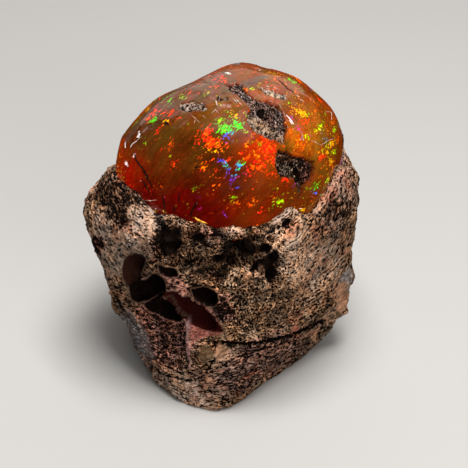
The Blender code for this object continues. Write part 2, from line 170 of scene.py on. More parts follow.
FIRES = (
    Fire(-93, 51, 2.9, 2.1, 24, "green", 1.05),
    Fire(-84, 53, 1.4, 1.5, -38, "green", 0.9),
    Fire(-85, 58, 1.2, 0.7, 9, "gold", 0.7),
    Fire(-78, 48, 1.2, 0.7, -45, "lime", 0.6),
    Fire(-99, 54, 0.9, 1.4, 17, "lime", 0.7),
    Fire(-93, 46, 1.2, 1.0, 23, "blue", 0.95),
    Fire(-89, 48, 1.2, 0.7, 0, "teal", 0.6),
    Fire(-93, 62, 2.8, 1.1, 27, "lime", 0.35),
    Fire(-108, 47, 2.1, 1.5, 31, "red", 1.05),
    Fire(-104, 43, 2.6, 1.8, -28, "red", 1.1),
    Fire(-99, 41, 1.7, 1.2, -16, "orange", 0.9),
    Fire(-101, 38, 1.7, 0.6, 5, "gold", 0.92),
    Fire(-108, 36, 0.9, 1.0, 71, "orange", 0.6),
    Fire(-98, 44, 0.8, 0.8, 4, "red", 0.8),
    Fire(-115, 45, 1.0, 0.8, 12, "lime", 0.4),
    Fire(-107, 40, 0.7, 0.8, 8, "gold", 0.5),
    Fire(-130, 36, 1.0, 1.5, 27, "orange", 0.62),
    Fire(-135, 39, 1.2, 0.7, 40, "orange", 0.4),
    Fire(-123, 28, 0.8, 1.1, 33, "red", 0.72),
    Fire(-129, 23, 0.7, 0.6, 17, "orange", 0.5),
    Fire(-165, 44, 0.9, 1.5, 66, "red", 0.9),
    Fire(-158, 49, 0.7, 0.8, 31, "red", 0.8),
    Fire(-152, 50, 1.4, 0.7, -56, "red", 0.9),
    Fire(-152, 52, 0.8, 0.8, 88, "red", 0.85),
    Fire(-147, 40, 0.9, 0.7, 70, "red", 0.95),
    Fire(-138, 50, 1.2, 0.6, 60, "red", 0.7),
    Fire(-158, 66, 0.6, 1.0, 74, "red", 0.7),
    Fire(-158, 42, 1.3, 0.8, -58, "green", 0.9),
    Fire(164, 47, 1.1, 0.2, 79, "lime", 0.5),
    Fire(-168, 55, 1.6, 1.5, -69, "green", 0.6),
    Fire(-161, 60, 1.4, 1.3, 68, "lime", 0.6),
    Fire(-130, 69, 1.3, 0.6, -82, "lime", 0.8),
    Fire(-133, 67, 0.7, 0.5, 26, "green", 0.5),
    Fire(-148, 46, 0.6, 0.9, -72, "gold", 0.8),
    Fire(-162, 39, 2.2, 0.8, -40, "orange", 0.5),
    Fire(-129, 46, 0.9, 0.8, 52, "lime", 0.4),
    Fire(-125, 50, 2.1, 1.0, 53, "lime", 0.25),
    Fire(-150, 31, 0.7, 1.1, 25, "lime", 0.4),
    Fire(-152, 27, 1.3, 0.6, 25, "lime", 0.3),
    Fire(-150, 41, 0.9, 0.5, 26, "blue", 0.35),
    Fire(-160, 30, 1.1, 0.9, 50, "orange", 0.35),
    Fire(-127, 31, 0.9, 0.6, 16, "lime", 0.3),
    Fire(-136, 32, 0.8, 0.9, 20, "red", 0.4),
    Fire(-104, 30, 2.0, 0.8, 55, "orange", 0.75),
    Fire(-104, 31, 0.6, 0.5, 47, "red", 0.85),
    Fire(-105, 29, 0.6, 0.5, 52, "lime", 0.6),
    Fire(-100, 33, 0.9, 0.6, 51, "red", 0.7),
    Fire(-91, 34, 0.9, 0.5, 31, "red", 0.85),
    Fire(-97, 29, 0.5, 0.5, 3, "red", 0.8),
    Fire(-99, 21, 0.8, 0.6, 4, "orange", 0.6),
    Fire(-96, 25, 0.9, 0.6, 23, "orange", 0.5),
    Fire(-96, 33, 0.9, 0.6, -42, "blue", 0.7),
    Fire(-93, 31, 0.8, 0.8, -39, "teal", 0.9),
    Fire(-92, 27, 0.6, 0.5, 1, "blue", 0.6),
    Fire(-95, 26, 0.6, 0.4, 2, "lime", 0.3),
    Fire(-89, 23, 0.9, 0.6, 20, "violet", 0.55),
    Fire(-85, 21, 0.8, 0.4, 23, "blue", 0.6),
    Fire(-107, 14, 1.0, 0.6, 27, "violet", 0.5),
    Fire(-105, 8, 0.6, 0.8, 8, "magenta", 0.55),
    Fire(-92, 7, 0.9, 0.4, -21, "violet", 0.45),
    Fire(-109, 18, 0.8, 0.6, 9, "lime", 0.35),
    Fire(-124, 11, 0.8, 0.8, 16, "magenta", 0.3),
    Fire(-83, 26, 0.8, 0.6, -3, "magenta", 0.5),
    Fire(-86, 30, 1.4, 1.1, -22, "teal", 0.8),
    Fire(-83, 32, 0.9, 0.8, 41, "green", 0.85),
    Fire(-81, 34, 1.5, 0.5, 40, "orange", 0.7),
    Fire(-79, 31, 0.6, 0.6, -5, "gold", 0.6),
    Fire(-66, 38, 2.2, 2.8, 3, "red", 1.05),
    Fire(-74, 30, 2.4, 1.6, 31, "red", 0.95),
    Fire(-76, 37, 1.1, 0.8, 23, "gold", 0.7),
    Fire(-71, 40, 0.8, 0.6, -9, "green", 0.9),
    Fire(-75, 42, 1.9, 1.4, 13, "lime", 0.45),
    Fire(-80, 41, 0.6, 1.4, 6, "orange", 0.8),
    Fire(-65, 31, 1.3, 2.2, 7, "red", 0.85),
    Fire(-60, 21, 1.6, 0.8, -27, "red", 0.7),
    Fire(-65, 24, 2.6, 1.1, -39, "red", 0.45),
    Fire(-66, 43, 2.0, 1.4, -38, "red", 0.9),
    Fire(-74, 34, 1.6, 0.6, 31, "orange", 0.7),
    Fire(-80, 28, 1.1, 0.5, 34, "red", 0.6),
    Fire(-84, 37, 1.2, 0.5, 37, "red", 0.6),
    Fire(-66, 34, 0.8, 0.8, -11, "magenta", 0.3),
    Fire(-65, 10, 2.6, 0.8, 14, "lime", 0.75),
    Fire(-59, 11, 1.7, 0.7, 7, "gold", 0.6),
    Fire(-75, 8, 1.4, 0.6, 2, "red", 0.75),
    Fire(-79, 12, 1.2, 0.9, 4, "orange", 0.6),
    Fire(-70, 14, 1.0, 0.6, 9, "orange", 0.6),
    Fire(-68, 18, 0.7, 0.5, -11, "lime", 0.6),
    Fire(-80, 18, 0.9, 0.6, -5, "red", 0.45),
    Fire(-85, 11, 1.2, 0.6, -2, "orange", 0.4),
    Fire(-90, 14, 1.1, 0.6, 20, "lime", 0.25),
    Fire(-83, 7, 0.9, 0.6, -4, "gold", 0.35),
    Fire(-22, 48, 3.0, 1.8, -45, "gold", 0.9),
    Fire(-19, 44, 2.0, 0.8, -14, "lime", 0.8),
    Fire(-25, 42, 2.1, 1.1, -16, "red", 0.7),
    Fire(-36, 42, 1.2, 0.8, -25, "magenta", 0.9),
    Fire(-35, 48, 0.6, 0.7, -28, "violet", 0.8),
    Fire(-35, 36, 2.1, 0.9, 5, "lime", 0.8),
    Fire(-37, 36, 0.8, 0.6, -24, "teal", 0.8),
    Fire(-41, 35, 3.2, 3.1, -6, "orange", 0.55),
    Fire(-18, 35, 3.2, 0.6, 0, "lime", 0.9),
    Fire(-2, 25, 3.0, 0.6, -12, "lime", 0.8),
    Fire(-21, 31, 2.4, 1.2, -53, "teal", 0.4),
    Fire(-29, 26, 2.7, 0.7, 0, "orange", 0.6),
    Fire(-30, 23, 2.0, 0.8, -1, "red", 0.97),
    Fire(-16, 23, 5.0, 0.7, -9, "gold", 0.95),
    Fire(-24, 25, 3.8, 0.4, -2, "lime", 0.75),
    Fire(-22, 16, 2.5, 0.6, 0, "gold", 0.85),
    Fire(-13, 18, 2.4, 0.6, -5, "lime", 0.8),
    Fire(-20, 13, 1.6, 0.5, -12, "orange", 0.6),
    Fire(-41, 12, 1.6, 0.9, -21, "green", 0.6),
    Fire(-46, 13, 1.1, 0.6, -20, "green", 0.7),
    Fire(-42, 8, 0.9, 0.6, -21, "blue", 0.7),
    Fire(-34, 5, 2.8, 1.0, 4, "green", 0.35),
    Fire(-44, 6, 1.1, 0.5, -6, "red", 0.7),
    Fire(-52, 3, 1.3, 0.6, 7, "gold", 0.9),
    Fire(-29, 9, 2.9, 0.8, 5, "lime", 0.6),
    Fire(-33, 16, 2.0, 0.8, 13, "orange", 0.45),
    Fire(-18, 8, 1.9, 1.2, 7, "gold", 0.5),
    Fire(-44, 42, 1.2, 1.2, -5, "orange", 0.7),
    Fire(-44, 48, 0.9, 0.9, -23, "orange", 0.5),
    Fire(-54, 15, 1.6, 0.8, -17, "violet", 0.25),
    Fire(-11, 41, 2.1, 0.6, -18, "orange", 0.6),
    Fire(-11, 30, 1.7, 0.5, -4, "gold", 0.5),
    Fire(-48, 25, 1.6, 0.9, -18, "orange", 0.3),
    Fire(-1, 19, 2.4, 2.1, -11, "orange", 0.5),
    Fire(4, 27, 5.8, 0.9, -21, "orange", 0.5),
    Fire(-37, 29, 1.9, 0.6, -1, "gold", 0.5),
    Fire(-36, 75, 1.3, 0.7, -13, "lime", 0.8),
    Fire(-50, 76, 1.2, 0.8, -48, "orange", 0.85),
    Fire(-3, 45, 2.9, 1.7, -63, "orange", 0.5),
    Fire(12, 37, 1.2, 1.5, -60, "red", 0.9),
    Fire(-25, 55, 1.4, 0.5, -11, "lime", 0.5),
    Fire(-122, 85, 0.6, 0.9, 25, "red", 0.7),
    Fire(-169, 83, 3.9, 2.1, -77, "red", 0.5),
    Fire(-137, 78, 2.0, 1.1, 78, "orange", 0.5),
    Fire(-169, 73, 1.6, 1.9, -75, "red", 0.35),
    Fire(83, 81, 1.6, 1.4, 11, "orange", 0.4),
    Fire(3, 69, 1.9, 1.7, 72, "orange", 0.35),
    Fire(-4, 55, 1.6, 1.6, -87, "orange", 0.4),
    Fire(-89, 62, 1.6, 1.3, 24, "gold", 0.4),
    Fire(-106, 65, 1.5, 1.0, 23, "lime", 0.35),
    Fire(-79, 64, 0.8, 1.6, -7, "orange", 0.5),
    Fire(-34, 63, 0.9, 1.0, -64, "orange", 0.5),
)

# The direction of the silk and the fire: up to the right across the display side.
STREAK_TURN = Matrix(((0.707, 0.354, 0.612), (-0.707, 0.354, 0.612), (0.0, -0.866, 0.5))).to_euler()
# The finish of each kind of fine mark: its darkest and lightest colour and its roughness.
MARK_FINISHES = {
    "crack": ((0.002, 0.001, 0.001), (0.012, 0.004, 0.003), 0.35),
    # Chips are near-white slivers: partly fresh broken skin and partly painted glints of light on it.
    "chip": ((0.62, 0.55, 0.52), (0.95, 0.93, 0.92), 0.12),
    "scratch": ((0.30, 0.20, 0.15), (0.70, 0.58, 0.50), 0.3),
    "gold": ((0.30, 0.10, 0.01), (0.80, 0.42, 0.05), 0.3),
}
# Fine marks on the opal: what it is, its width in millimetres, and its course in degrees.
MARKS = (
    ("crack", 0.42, ((-155.7, 22.8), (-151, 21.2), (-147.1, 20), (-143, 19.2), (-140.4, 17.8), (-136, 15.4), (-130.4, 12.5))),
    ("crack", 0.28, ((-140.9, 13.7), (-138.1, 12.8), (-134.8, 11), (-132.4, 9.6))),
    ("crack", 0.38, ((-125.3, 12.1), (-124.6, 9.7), (-123.7, 6.8), (-123.6, 2.8))),
    ("crack", 0.32, ((-116.4, 15), (-116.2, 11.9), (-116.1, 9.4))),
    ("crack", 0.32, ((-119.4, 7.6), (-118.2, 5.9), (-119.3, 4.1))),
    ("crack", 0.38, ((-106.9, 12.6), (-107.5, 10.3), (-109, 7.5), (-110.1, 3.4))),
    ("crack", 0.25, ((7.9, 64.7), (3.2, 62.9), (-6.3, 59.3), (-9.9, 54.7))),
    ("crack", 0.21, ((-32.8, 74.2), (-32.3, 70.7), (-31.8, 67.2))),
    ("crack", 0.56, ((-146.1, 43.6), (-144.9, 45.2), (-142.1, 44.9))),
    ("crack", 0.39, ((-110.2, 28.3), (-108.4, 28.9))),
    ("crack", 0.28, ((-127, 20.6), (-126.2, 20.5))),
    ("crack", 0.28, ((-89.6, 36.1), (-88, 35.8))),
    # The chip marks are partly painted glints on the edges and bumps of the skin.
    ("chip", 0.17, ((-167.5, 19.6), (-171.5, 21.6))),
    ("chip", 0.3, ((-161.1, 22.9), (-160.4, 25.4), (-157.5, 28.6))),
    ("chip", 0.1, ((-157.5, 28.6), (-154.6, 32))),
    ("chip", 0.19, ((-168.6, 8.5), (-166.8, 9.2))),
    ("chip", 0.14, ((-156.3, 12.1), (-155.5, 12.7))),
    ("chip", 0.12, ((-155.8, 14.8), (-154.8, 15.6))),
    ("chip", 0.1, ((-157.8, 6.5), (-156.7, 7.1))),
    ("chip", 0.12, ((-107.1, 10.9), (-106.6, 11.2))),
    ("chip", 0.13, ((-106.1, 2.5), (-105.2, 2.5))),
    ("scratch", 0.08, ((-130, 55.2), (-121.5, 53), (-115.3, 51.4))),
    ("scratch", 0.08, ((-122, 54.1), (-120.4, 50.3))),
    ("scratch", 0.07, ((-117.5, 56.6), (-112.6, 55.1))),
    ("scratch", 0.07, ((-110, 58.4), (-106.7, 62))),
    ("scratch", 0.07, ((-108.4, 61.9), (-102.3, 59.5))),
    ("chip", 0.14, ((-111, 67.6), (-106.7, 64.3))),
    ("scratch", 0.14, ((-82.2, 72.2), (-76.8, 64.5))),
    ("scratch", 0.1, ((-86.6, 71.5), (-81.1, 67.4))),
    ("chip", 0.3, ((-37.9, 50.9), (-36.7, 44.8))),
    ("chip", 0.24, ((-38.6, 47.7), (-38, 45.1))),
    ("scratch", 0.1, ((-32.2, 33.1), (-29.4, 30.7), (-26.4, 27.8))),
    ("scratch", 0.08, ((-26.4, 27.8), (-19, 26.6), (-8.5, 23.7))),
    ("scratch", 0.09, ((-37.2, 41), (-35.5, 37.4))),
    ("scratch", 0.14, ((3.7, 33.7), (10.5, 29), (3.5, 28.4))),
    ("chip", 0.19, ((46.2, 67.7), (40.8, 67.9))),
    ("chip", 0.2, ((122.3, 84), (86.9, 86.4))),
    ("chip", 0.14, ((123.8, 84.4), (91.5, 87.4))),
    ("scratch", 0.17, ((-15.4, 70.3), (-16.5, 68.1))),
    ("scratch", 0.26, ((-12.3, 66.1), (-13.7, 63.5))),
    ("scratch", 0.22, ((-10.2, 54.5), (-8.9, 51.9))),
    ("scratch", 0.17, ((-10.9, 51.6), (-10.5, 48.8))),
    ("chip", 0.07, ((-142.4, 13.4), (-141.4, 13.1))),
    ("scratch", 0.14, ((-135.8, 5.4), (-132.4, 6.3), (-128.4, 8.1))),
    ("chip", 0.13, ((-129.3, 3.5), (-128.7, 3.3))),
    ("chip", 0.12, ((-53.7, 3.5), (-52.3, 3.3))),
    ("gold", 0.5, ((-107.5, 3.4), (-106, 2.6), (-104.1, 2.1), (-101.8, 1.8))),
    ("gold", 0.24, ((-124.6, 3.8), (-123.9, 2.7))),
    ("gold", 0.22, ((-129.7, 2.5), (-129, 0.9))),
)

# The crusts in the opal: each outline on the display chart, and how far its skin lies under the opal's, in millimetres.
CRUSTS = {
    "matrix_crust_upper": (0.45, ((-1.4, 25.1), (0.2, 25.7), (1.4, 25.4), (2.3, 23.9), (3.3, 22.8), (5.5, 22.3),
                                  (7.6, 21.7), (8.4, 20.2), (8.8, 18.9), (9.0, 17.3), (8.5, 15.3), (7.1, 15.7),
                                  (4.6, 16.5), (3.0, 17.7), (2.2, 18.8), (2.3, 19.7), (2.6, 20.7), (2.3, 22.0),
                                  (1.2, 23.1), (-0.7, 24.2))),
    "matrix_crust_top": (0.05, ((3.9, 24.9), (4.9, 24.7), (6.2, 24.2), (7.1, 23.8), (8.8, 23.4), (9.0, 22.8),
                                (8.4, 22.6), (7.1, 23.0), (6.2, 23.1), (5.4, 23.6), (4.7, 24.2))),
    "matrix_crust_lower": (0.65, ((7.5, 14.1), (8.8, 13.8), (10.4, 13.3), (12.1, 12.8), (13.6, 12.2), (13.9, 11.2),
                                  (13.3, 9.3), (12.1, 8.2), (11.3, 6.7), (10.8, 5.6), (10.8, 7.9), (9.7, 9.3),
                                  (7.9, 9.6), (7.1, 11.1), (7.1, 12.5))),
    "matrix_crust_small": (0.15, ((-3.1, 22.9), (-2.5, 23.2), (-1.9, 23.0), (-1.1, 23.1), (-1.1, 22.6), (-1.9, 22.4),
                                  (-2.7, 22.5))),
    "matrix_crust_left": (0.15, ((-9.6, 21.3), (-8.7, 22.0), (-7.6, 22.3), (-6.4, 22.2), (-5.2, 22.0), (-4.5, 21.3),
                                 (-5.0, 20.7), (-6.2, 20.8), (-7.4, 20.5), (-8.6, 20.8))),
}
# Hollows of the opal beside its crusts, with their depths, and the parts of the crusts that differ.
RECESSES = (
    (0.3, ((7.6, 21.5), (8.4, 20.2), (8.8, 18.9), (9.7, 18.3), (9.2, 17.0), (8.5, 16.4), (7.8, 17.0), (7.1, 18.0),
            (7.9, 18.9))),
    (0.2, ((7.4, 14.0), (7.5, 14.9), (8.8, 14.8), (10.4, 14.6), (11.6, 14.1), (12.9, 13.8), (13.7, 13.0),
            (13.6, 12.2), (12.1, 12.8), (10.4, 13.3), (8.8, 13.8))),
)
CRUST_TAN = ((2.2, 18.8), (2.3, 19.7), (3.3, 19.9), (4.6, 18.9), (6.2, 18.1), (7.1, 17.3), (8.5, 16.4), (8.8, 15.0),
             (7.1, 15.3), (4.6, 16.1), (2.7, 17.4))
# Holes in the crusts: outlines on the chart, sunk in and painted near black as painted shade.
CRUST_HOLES = (
    ((3.8, 21.4), (4.6, 21.5), (5.4, 20.7), (5.2, 19.7), (4.3, 19.6), (3.8, 20.2)),
    ((9.6, 12.2), (10.5, 11.7), (11.3, 10.7), (12.0, 9.5), (11.8, 8.3), (11.0, 8.8), (10.2, 9.9), (9.7, 11.1)),
)

ROCK_CENTRE = Vector((0.152, -0.630, 17.0)) * MM
# The flow bands of the block wrap round an axis that falls from the front to here and rises again behind.
BAND_CENTRE = Vector((-2.0, 1.0, 36.0)) * MM
BAND_TURN = Matrix.Rotation(math.radians(30), 3, "X")
BAND_BEND = 6.0 * MM
# How far the block's rim rises round the opal: degrees from +X towards +Y, millimetres.
RIM_RISES = ((-180, 2.4), (-168, 2.7), (-158, 2.9), (-147, 3.0), (-141, 3.1), (-136, 2.0), (-129, 0.4), (-119, 0.9),
             (-108, 0.5), (-98, 0.0), (-89, 0.0), (-84, -1.2), (-77, -1.1), (-71, -0.2), (-66, 0.7), (-61, 1.9),
             (-57, 1.7), (-53, 0.2), (-47, 0.0), (-42, 1.2), (-36, 1.9), (-30, 2.4), (-22, 2.7), (-10, 2.0), (0, 0.4), (12, -1.6), (28, -4.0), (62, -4.0), (90, 0.0),
             (150, 0.2), (165, 1.2), (180, 2.4))

# The display chart: the display side as it appears from a point 30 degrees above level.
DISPLAY_ELEVATION = math.radians(30)
DISPLAY_DISTANCE = 0.327
CHART_MIDDLE = Vector((2.156, 9.526, 15.858)) * MM

# The block's cavities: an outline on the chart, how deep it is cut in millimetres, and what it is floored with, a
# colour that is painted shade over the stone's own tone.
CAVITIES = (
    ("cavity shade brown", 1.8, ((-18.5, -5.7), (-18.3, -4.7), (-17.6, -3.9), (-16.6, -3.5), (-15.5, -3.7),
                           (-14.8, -4.2), (-15.0, -5.0), (-15.6, -5.9), (-16.0, -6.6), (-15.9, -7.7),
                           (-16.8, -8.6), (-17.8, -8.4), (-18.3, -7.6))),
    ("cavity shade black", 2.3, ((-17.3, -8.7), (-16.5, -8.1), (-15.6, -7.7), (-14.4, -7.1), (-13.1, -7.0),
                           (-12.1, -7.6), (-11.6, -8.6), (-11.6, -9.7), (-12.4, -10.6), (-13.8, -10.8),
                           (-15.0, -10.9), (-16.1, -11.3), (-17.0, -10.6), (-17.3, -9.6))),
    ("cavity shade black", 2.0, ((-14.8, -11.8), (-13.6, -11.1), (-12.1, -10.8), (-11.1, -11.3), (-10.2, -12.1),
                           (-9.7, -13.3), (-8.7, -14.1), (-9.1, -14.6), (-10.4, -14.3), (-11.9, -13.8),
                           (-13.1, -13.1), (-14.1, -12.8))),
    ("cavity shade red", 1.6, ((-11.6, -10.1), (-10.6, -9.7), (-9.1, -10.0), (-7.6, -10.8), (-6.2, -11.5),
                         (-5.0, -12.2), (-4.0, -13.0), (-3.0, -14.5), (-2.0, -16.3), (-3.5, -16.1),
                         (-5.2, -15.7), (-6.7, -15.0), (-7.9, -14.3), (-9.1, -13.1), (-10.1, -11.9),
                         (-10.9, -10.9))),
    ("cavity shade black", 2.0, ((-6.9, -9.4), (-5.2, -9.1), (-3.5, -9.7), (-2.7, -11.1), (-3.5, -12.1),
                           (-5.0, -11.8), (-6.4, -10.9))),
    ("cavity shade black", 1.4, ((-12.8, -5.7), (-11.6, -5.8), (-9.9, -6.0), (-9.6, -6.9), (-10.6, -7.1),
                           (-11.6, -6.8), (-12.4, -6.4))),
)
# Ground of red, loosely welded stone below the cavities, and the deep, coarse ground under the rim.
RED_GROUND = ((-17.3, -12.3), (-15.8, -12.8), (-13.3, -13.2), (-8.7, -13.8), (-8.0, -17.4), (-8.7, -20.5),
              (-6.3, -22.2), (-9.5, -23.7), (-12.4, -20.7), (-13.3, -17.4), (-13.7, -15.5), (-15.8, -14.9),
              (-16.8, -13.2))
COARSE_GROUND = ((-13.5, 3.2), (-10.8, 3.0), (-7.8, 2.4), (-4.0, 1.5), (1.0, 1.7), (4.5, 2.2), (9.8, 2.2), (9.2, -2.0),
                 (9.4, -8.6), (6.4, -9.0), (3.8, -6.6), (1.0, -6.0), (-1.1, -6.9), (-1.9, -9.8), (-5.3, -8.1),
                 (-7.8, -7.3), (-9.5, -6.3), (-12.4, -5.4), (-13.5, -4.2))
# Gas holes: spots on the chart, cut in and painted dark as painted shade.
VESICLES = (
    Spot(-10.4, -2.4, 2.5, 2.5, 0),
    Spot(1.2, -2.7, 2.2, 2.6, 60),
    Spot(5.4, -3.0, 2.0, 2.0, 0),
    Spot(7.2, -4.7, 2.4, 2.5, 0),
    Spot(6.6, -7.4, 2.2, 2.4, 0),
    Spot(9.1, 1.8, 1.8, 1.2, 20),
    Spot(-6.0, -1.0, 2.2, 1.8, 30),
    Spot(-2.4, -4.6, 2.0, 1.4, -20),
    Spot(-7.5, -5.0, 2.0, 1.3, 10),
    Spot(-12.3, 0.6, 1.5, 2.0, 0),
    Spot(3.4, -6.2, 1.6, 1.2, 20),
)
# Thin walls between the cavities: a line on the chart, its width, and how far it stands up from the cavity floor.
RIBS = (
    ("rim", 0.13, 0.8, ((-11.9, -10.4), (-10.7, -10.8), (-9.7, -12.4), (-8.6, -13.6), (-7.4, -14.3))),
    ("pink", 0.15, 0.9, ((-15.8, -8.1), (-15.0, -7.4), (-14.1, -6.9))),
    ("pink", 0.15, 0.9, ((-15.0, -11.5), (-13.8, -10.8), (-12.4, -10.1))),
    ("rim", 0.13, 0.6, ((-9.1, -9.8), (-7.6, -10.6), (-6.0, -11.4), (-4.7, -12.2))),
    ("red", 0.25, 0.6, ((-4.7, -12.4), (-3.5, -13.4), (-2.7, -14.6), (-2.0, -15.8))),
)
# Patches of the block that differ in stone: a spot, its colour, its darkness and its smoothness.
STONES = (
    (Spot(-18.8, -0.2, 10.4, 17.0, -35), "fawn", 0.0, 0.0),
    (Spot(-14.4, 4.9, 5.4, 8.4, 10), "fawn", 0.0, 0.0),
    (Spot(-17.8, 6.9, 6.7, 3.6, -35), "brown", 0.57, 0.0),
    (Spot(-19.8, 4.4, 4.0, 7.0, 10), "brown", 0.55, 0.0),
    (Spot(-21.0, 8.4, 8.0, 7.0, 50), "brown", 0.56, 0.0),
    (Spot(-23.0, -1.8, 2.4, 3.0, 0), "rose", 0.62, 0.0),
    (Spot(-14.1, -13.6, 4.4, 4.0, -30), "rust", 0.3, 0.0),
    (Spot(-11.5, -17.5, 8.6, 9.6, -45), "rust", 0.54, 0.0),
    (Spot(-16.2, -17.1, 10.0, 3.0, -64), "grey", 0.40, 0.2),
    (Spot(-8.0, -27.0, 11.0, 4.6, -32), "fawn", 0.0, 0.0),
    (Spot(-11.2, -1.6, 4.8, 6.0, 0), "brown", 0.80, 0.0),
    (Spot(-3.7, -0.8, 4.4, 3.0, 10), "brown", 0.82, 0.0),
    (Spot(2.2, -2.7, 3.0, 3.4, 0), "brown", 0.82, 0.0),
    (Spot(6.4, -5.6, 3.4, 3.8, 20), "brown", 0.82, 0.0),
    (Spot(11.9, -3.5, 10.1, 12.8, 40), "pale", 0.0, 0.0),
    (Spot(17.5, 4.0, 5.7, 3.4, 25), "brown", 0.5, 0.0),
    (Spot(4.5, -12.5, 15.0, 9.0, 10), "tan", 0.42, 0.0),
    (Spot(3.0, -22.0, 18.0, 7.0, 30), "pink", 0.34, 0.0),
    (Spot(18.8, -7.9, 2.0, 4.9, -20), "grey", 0.1, 0.4),
    (Spot(10.4, -16.0, 1.5, 1.3, 0), "red", 0.3, 0.4),
    (Spot(-2.2, -12.6, 4.0, 5.0, 20), "rust", 0.62, 0.0),
    (Spot(-9.7, -8.3, 6.4, 2.4, -38), "rust", 0.3, 0.0),
    (Spot(-5.2, -10.6, 5.6, 3.4, -32), "brown", 1.0, 0.0),
)
# Cracks: width and depth in millimetres, and a line on the chart; they are cut in and painted dark as painted shade.
CRACKS = (
    (0.42, 0.9, ((-3.4, -18.3), (-0.3, -18.5), (3.9, -18.5), (7.7, -17.6), (10.8, -16.6), (13.1, -15.6), (14.8, -14.6))),
    (0.35, 0.5, ((-20.2, -10.4), (-19.0, -12.4), (-17.1, -14.8), (-16.1, -16.1))),
    (0.14, 0.3, ((-14.3, -22.2), (-12.4, -23.2), (-9.9, -24.2), (-7.4, -24.7), (-6.2, -24.4), (-3.2, -22.8), (0.2, -20.8), (4.7, -19.5), (9.4, -17.8))),
    (0.12, 0.25, ((-14.8, -20.7), (-12.4, -21.8), (-9.9, -22.8), (-7.7, -23.4), (-5.0, -22.2), (-1.3, -20.2))),
    (0.16, 0.3, ((-4.7, -23.2), (-3.5, -21.5), (-2.0, -19.8), (-0.5, -19.0))),
)
VEIN = ((-7.7, -14.8), (-7.6, -15.6), (-7.7, -17.3), (-7.6, -20.7), (-7.4, -22.5))
# The edge of the left band, where the block steps back; painted shade darkens the step.
BAND_EDGE = ((-13.5, 3.0), (-13.4, 0.2), (-13.5, -2.7), (-13.7, -4.7))

# Smooth faces of the block: an outline on the chart, the stone, and how smooth it is.
FACES = (
    (((-5.7, -19.2), (-4.4, -18.5), (-3.2, -20.0), (-3.7, -21.2), (-4.9, -21.8), (-5.8, -21.6), (-6.0, -20.3)), "plug", 0.5),
    (((-2.7, -18.5), (-0.3, -19.3), (-1.0, -20.2), (-3.0, -21.7), (-3.3, -20.3)), "brown", 0.6),
    (((-7.4, -14.7), (-5.4, -15.4), (-1.8, -16.4), (-2.6, -17.0), (-5.4, -17.5), (-7.1, -18.4)), "rose", 0.4),
    (((17.3, -9.0), (18.4, -7.7), (20.1, -8.8), (19.8, -11.2), (18.0, -13.3), (16.9, -12.6), (17.1, -10.8)), "brown", 0.55),
    (((17.0, -12.8), (17.9, -13.2), (18.7, -13.8), (18.3, -14.9), (17.2, -14.9)), "plug", 0.6),
)
STONE_COLOURS = {
    "tan": (0.52, 0.32, 0.185),
    "pale": (0.60, 0.41, 0.285),
    "fawn": (0.48, 0.355, 0.275),
    "pink": (0.46, 0.26, 0.195),
    "rose": (0.34, 0.11, 0.085),
    "red": (0.50, 0.16, 0.105),
    "rim": (0.27, 0.14, 0.105),
    "rust": (0.90, 0.42, 0.33),
    "brown": (0.40, 0.22, 0.13),
    "plug": (0.11, 0.068, 0.034),
    "grey": (0.36, 0.37, 0.39),
    # Cavity floors and walls: painted shade, near black, dark brown or dark red.
    "cavity shade brown": (0.032, 0.010, 0.006),
    "cavity shade black": (0.005, 0.0018, 0.0012),
    "cavity shade red": (0.036, 0.0045, 0.0035),
}


class OpalLook(bpy.types.PropertyGroup):
    """What a user would change about the opal."""

    grid: IntProperty(
        name="Grid", description="Quads along one side of the cube blown up into the opal", default=126, min=8, max=128
    )
    roughness: FloatProperty(name="Roughness", description="Of the opal's polish", default=0.04, subtype="FACTOR")
    clearness: FloatProperty(
        name="Clearness", description="Share of the light that passes into the opal", default=0.6, subtype="FACTOR"
    )
    ior: FloatProperty(name="Refraction", description="The opal's index of refraction", default=1.45)
    depth_colour: FloatVectorProperty(
        name="Depth Colour", description="What the opal lets through", default=(0.93, 0.52, 0.06), subtype="COLOR"
    )
    depth_density: FloatProperty(name="Depth Density", description="How soon the opal absorbs light", default=420.0)
    # Fire and Glow set painted light: the flecks and the body are emitted, so they shine with no lamp on them.
    fire: FloatProperty(name="Fire", description="Brightness of the play of colour", default=1.8, min=0.0)
    glow: FloatProperty(name="Glow", description="Light scattered back out of the body", default=0.37, min=0.0)
    fleck: FloatProperty(name="Fleck", description="Size of one fleck of fire", default=0.00020, unit="LENGTH")


class BlockLook(bpy.types.PropertyGroup):
    """What a user would change about the block of rhyolite and the crusts of it on the opal."""

    voxel: FloatProperty(name="Voxel", description="Finest relief away from the display side", default=0.00044, unit="LENGTH")
    crust_grid: IntProperty(
        name="Crust Grid", description="Quads along one side of the cube that the crusts are cut from", default=128
    )
    relief: FloatProperty(name="Relief", description="Depth of the grain", default=0.0003, unit="LENGTH")
    # Dark is partly the stone and partly painted shade in the pits between its grains.
    dark: FloatVectorProperty(
        name="Dark", description="The stone between its grains", default=(0.0045, 0.0028, 0.0022), subtype="COLOR"
    )


class StudioLook(bpy.types.PropertyGroup):
    """What a user would change about the floor, the lights and the camera."""

    floor: FloatVectorProperty(
        name="Floor", description="Colour of the floor", default=(0.40, 0.40, 0.395), subtype="COLOR"
    )
    top_light: FloatProperty(name="Top Light", description="Power of the soft light overhead", default=1.2, unit="POWER")
    glint_light: FloatProperty(
        name="Glint Light", description="Power of the small light that the polish catches", default=0.05, unit="POWER"
    )
    key_light: FloatProperty(
        name="Key Light", description="Power of the light above and to the left", default=3.1, unit="POWER"
    )
    fill_light: FloatProperty(name="Fill Light", description="Power of the soft light in front", default=1.5, unit="POWER")
    world: FloatProperty(name="World", description="Brightness of the room", default=0.06, min=0.0)
    lens: FloatProperty(name="Lens", description="Focal length", default=150.0, subtype="DISTANCE_CAMERA")


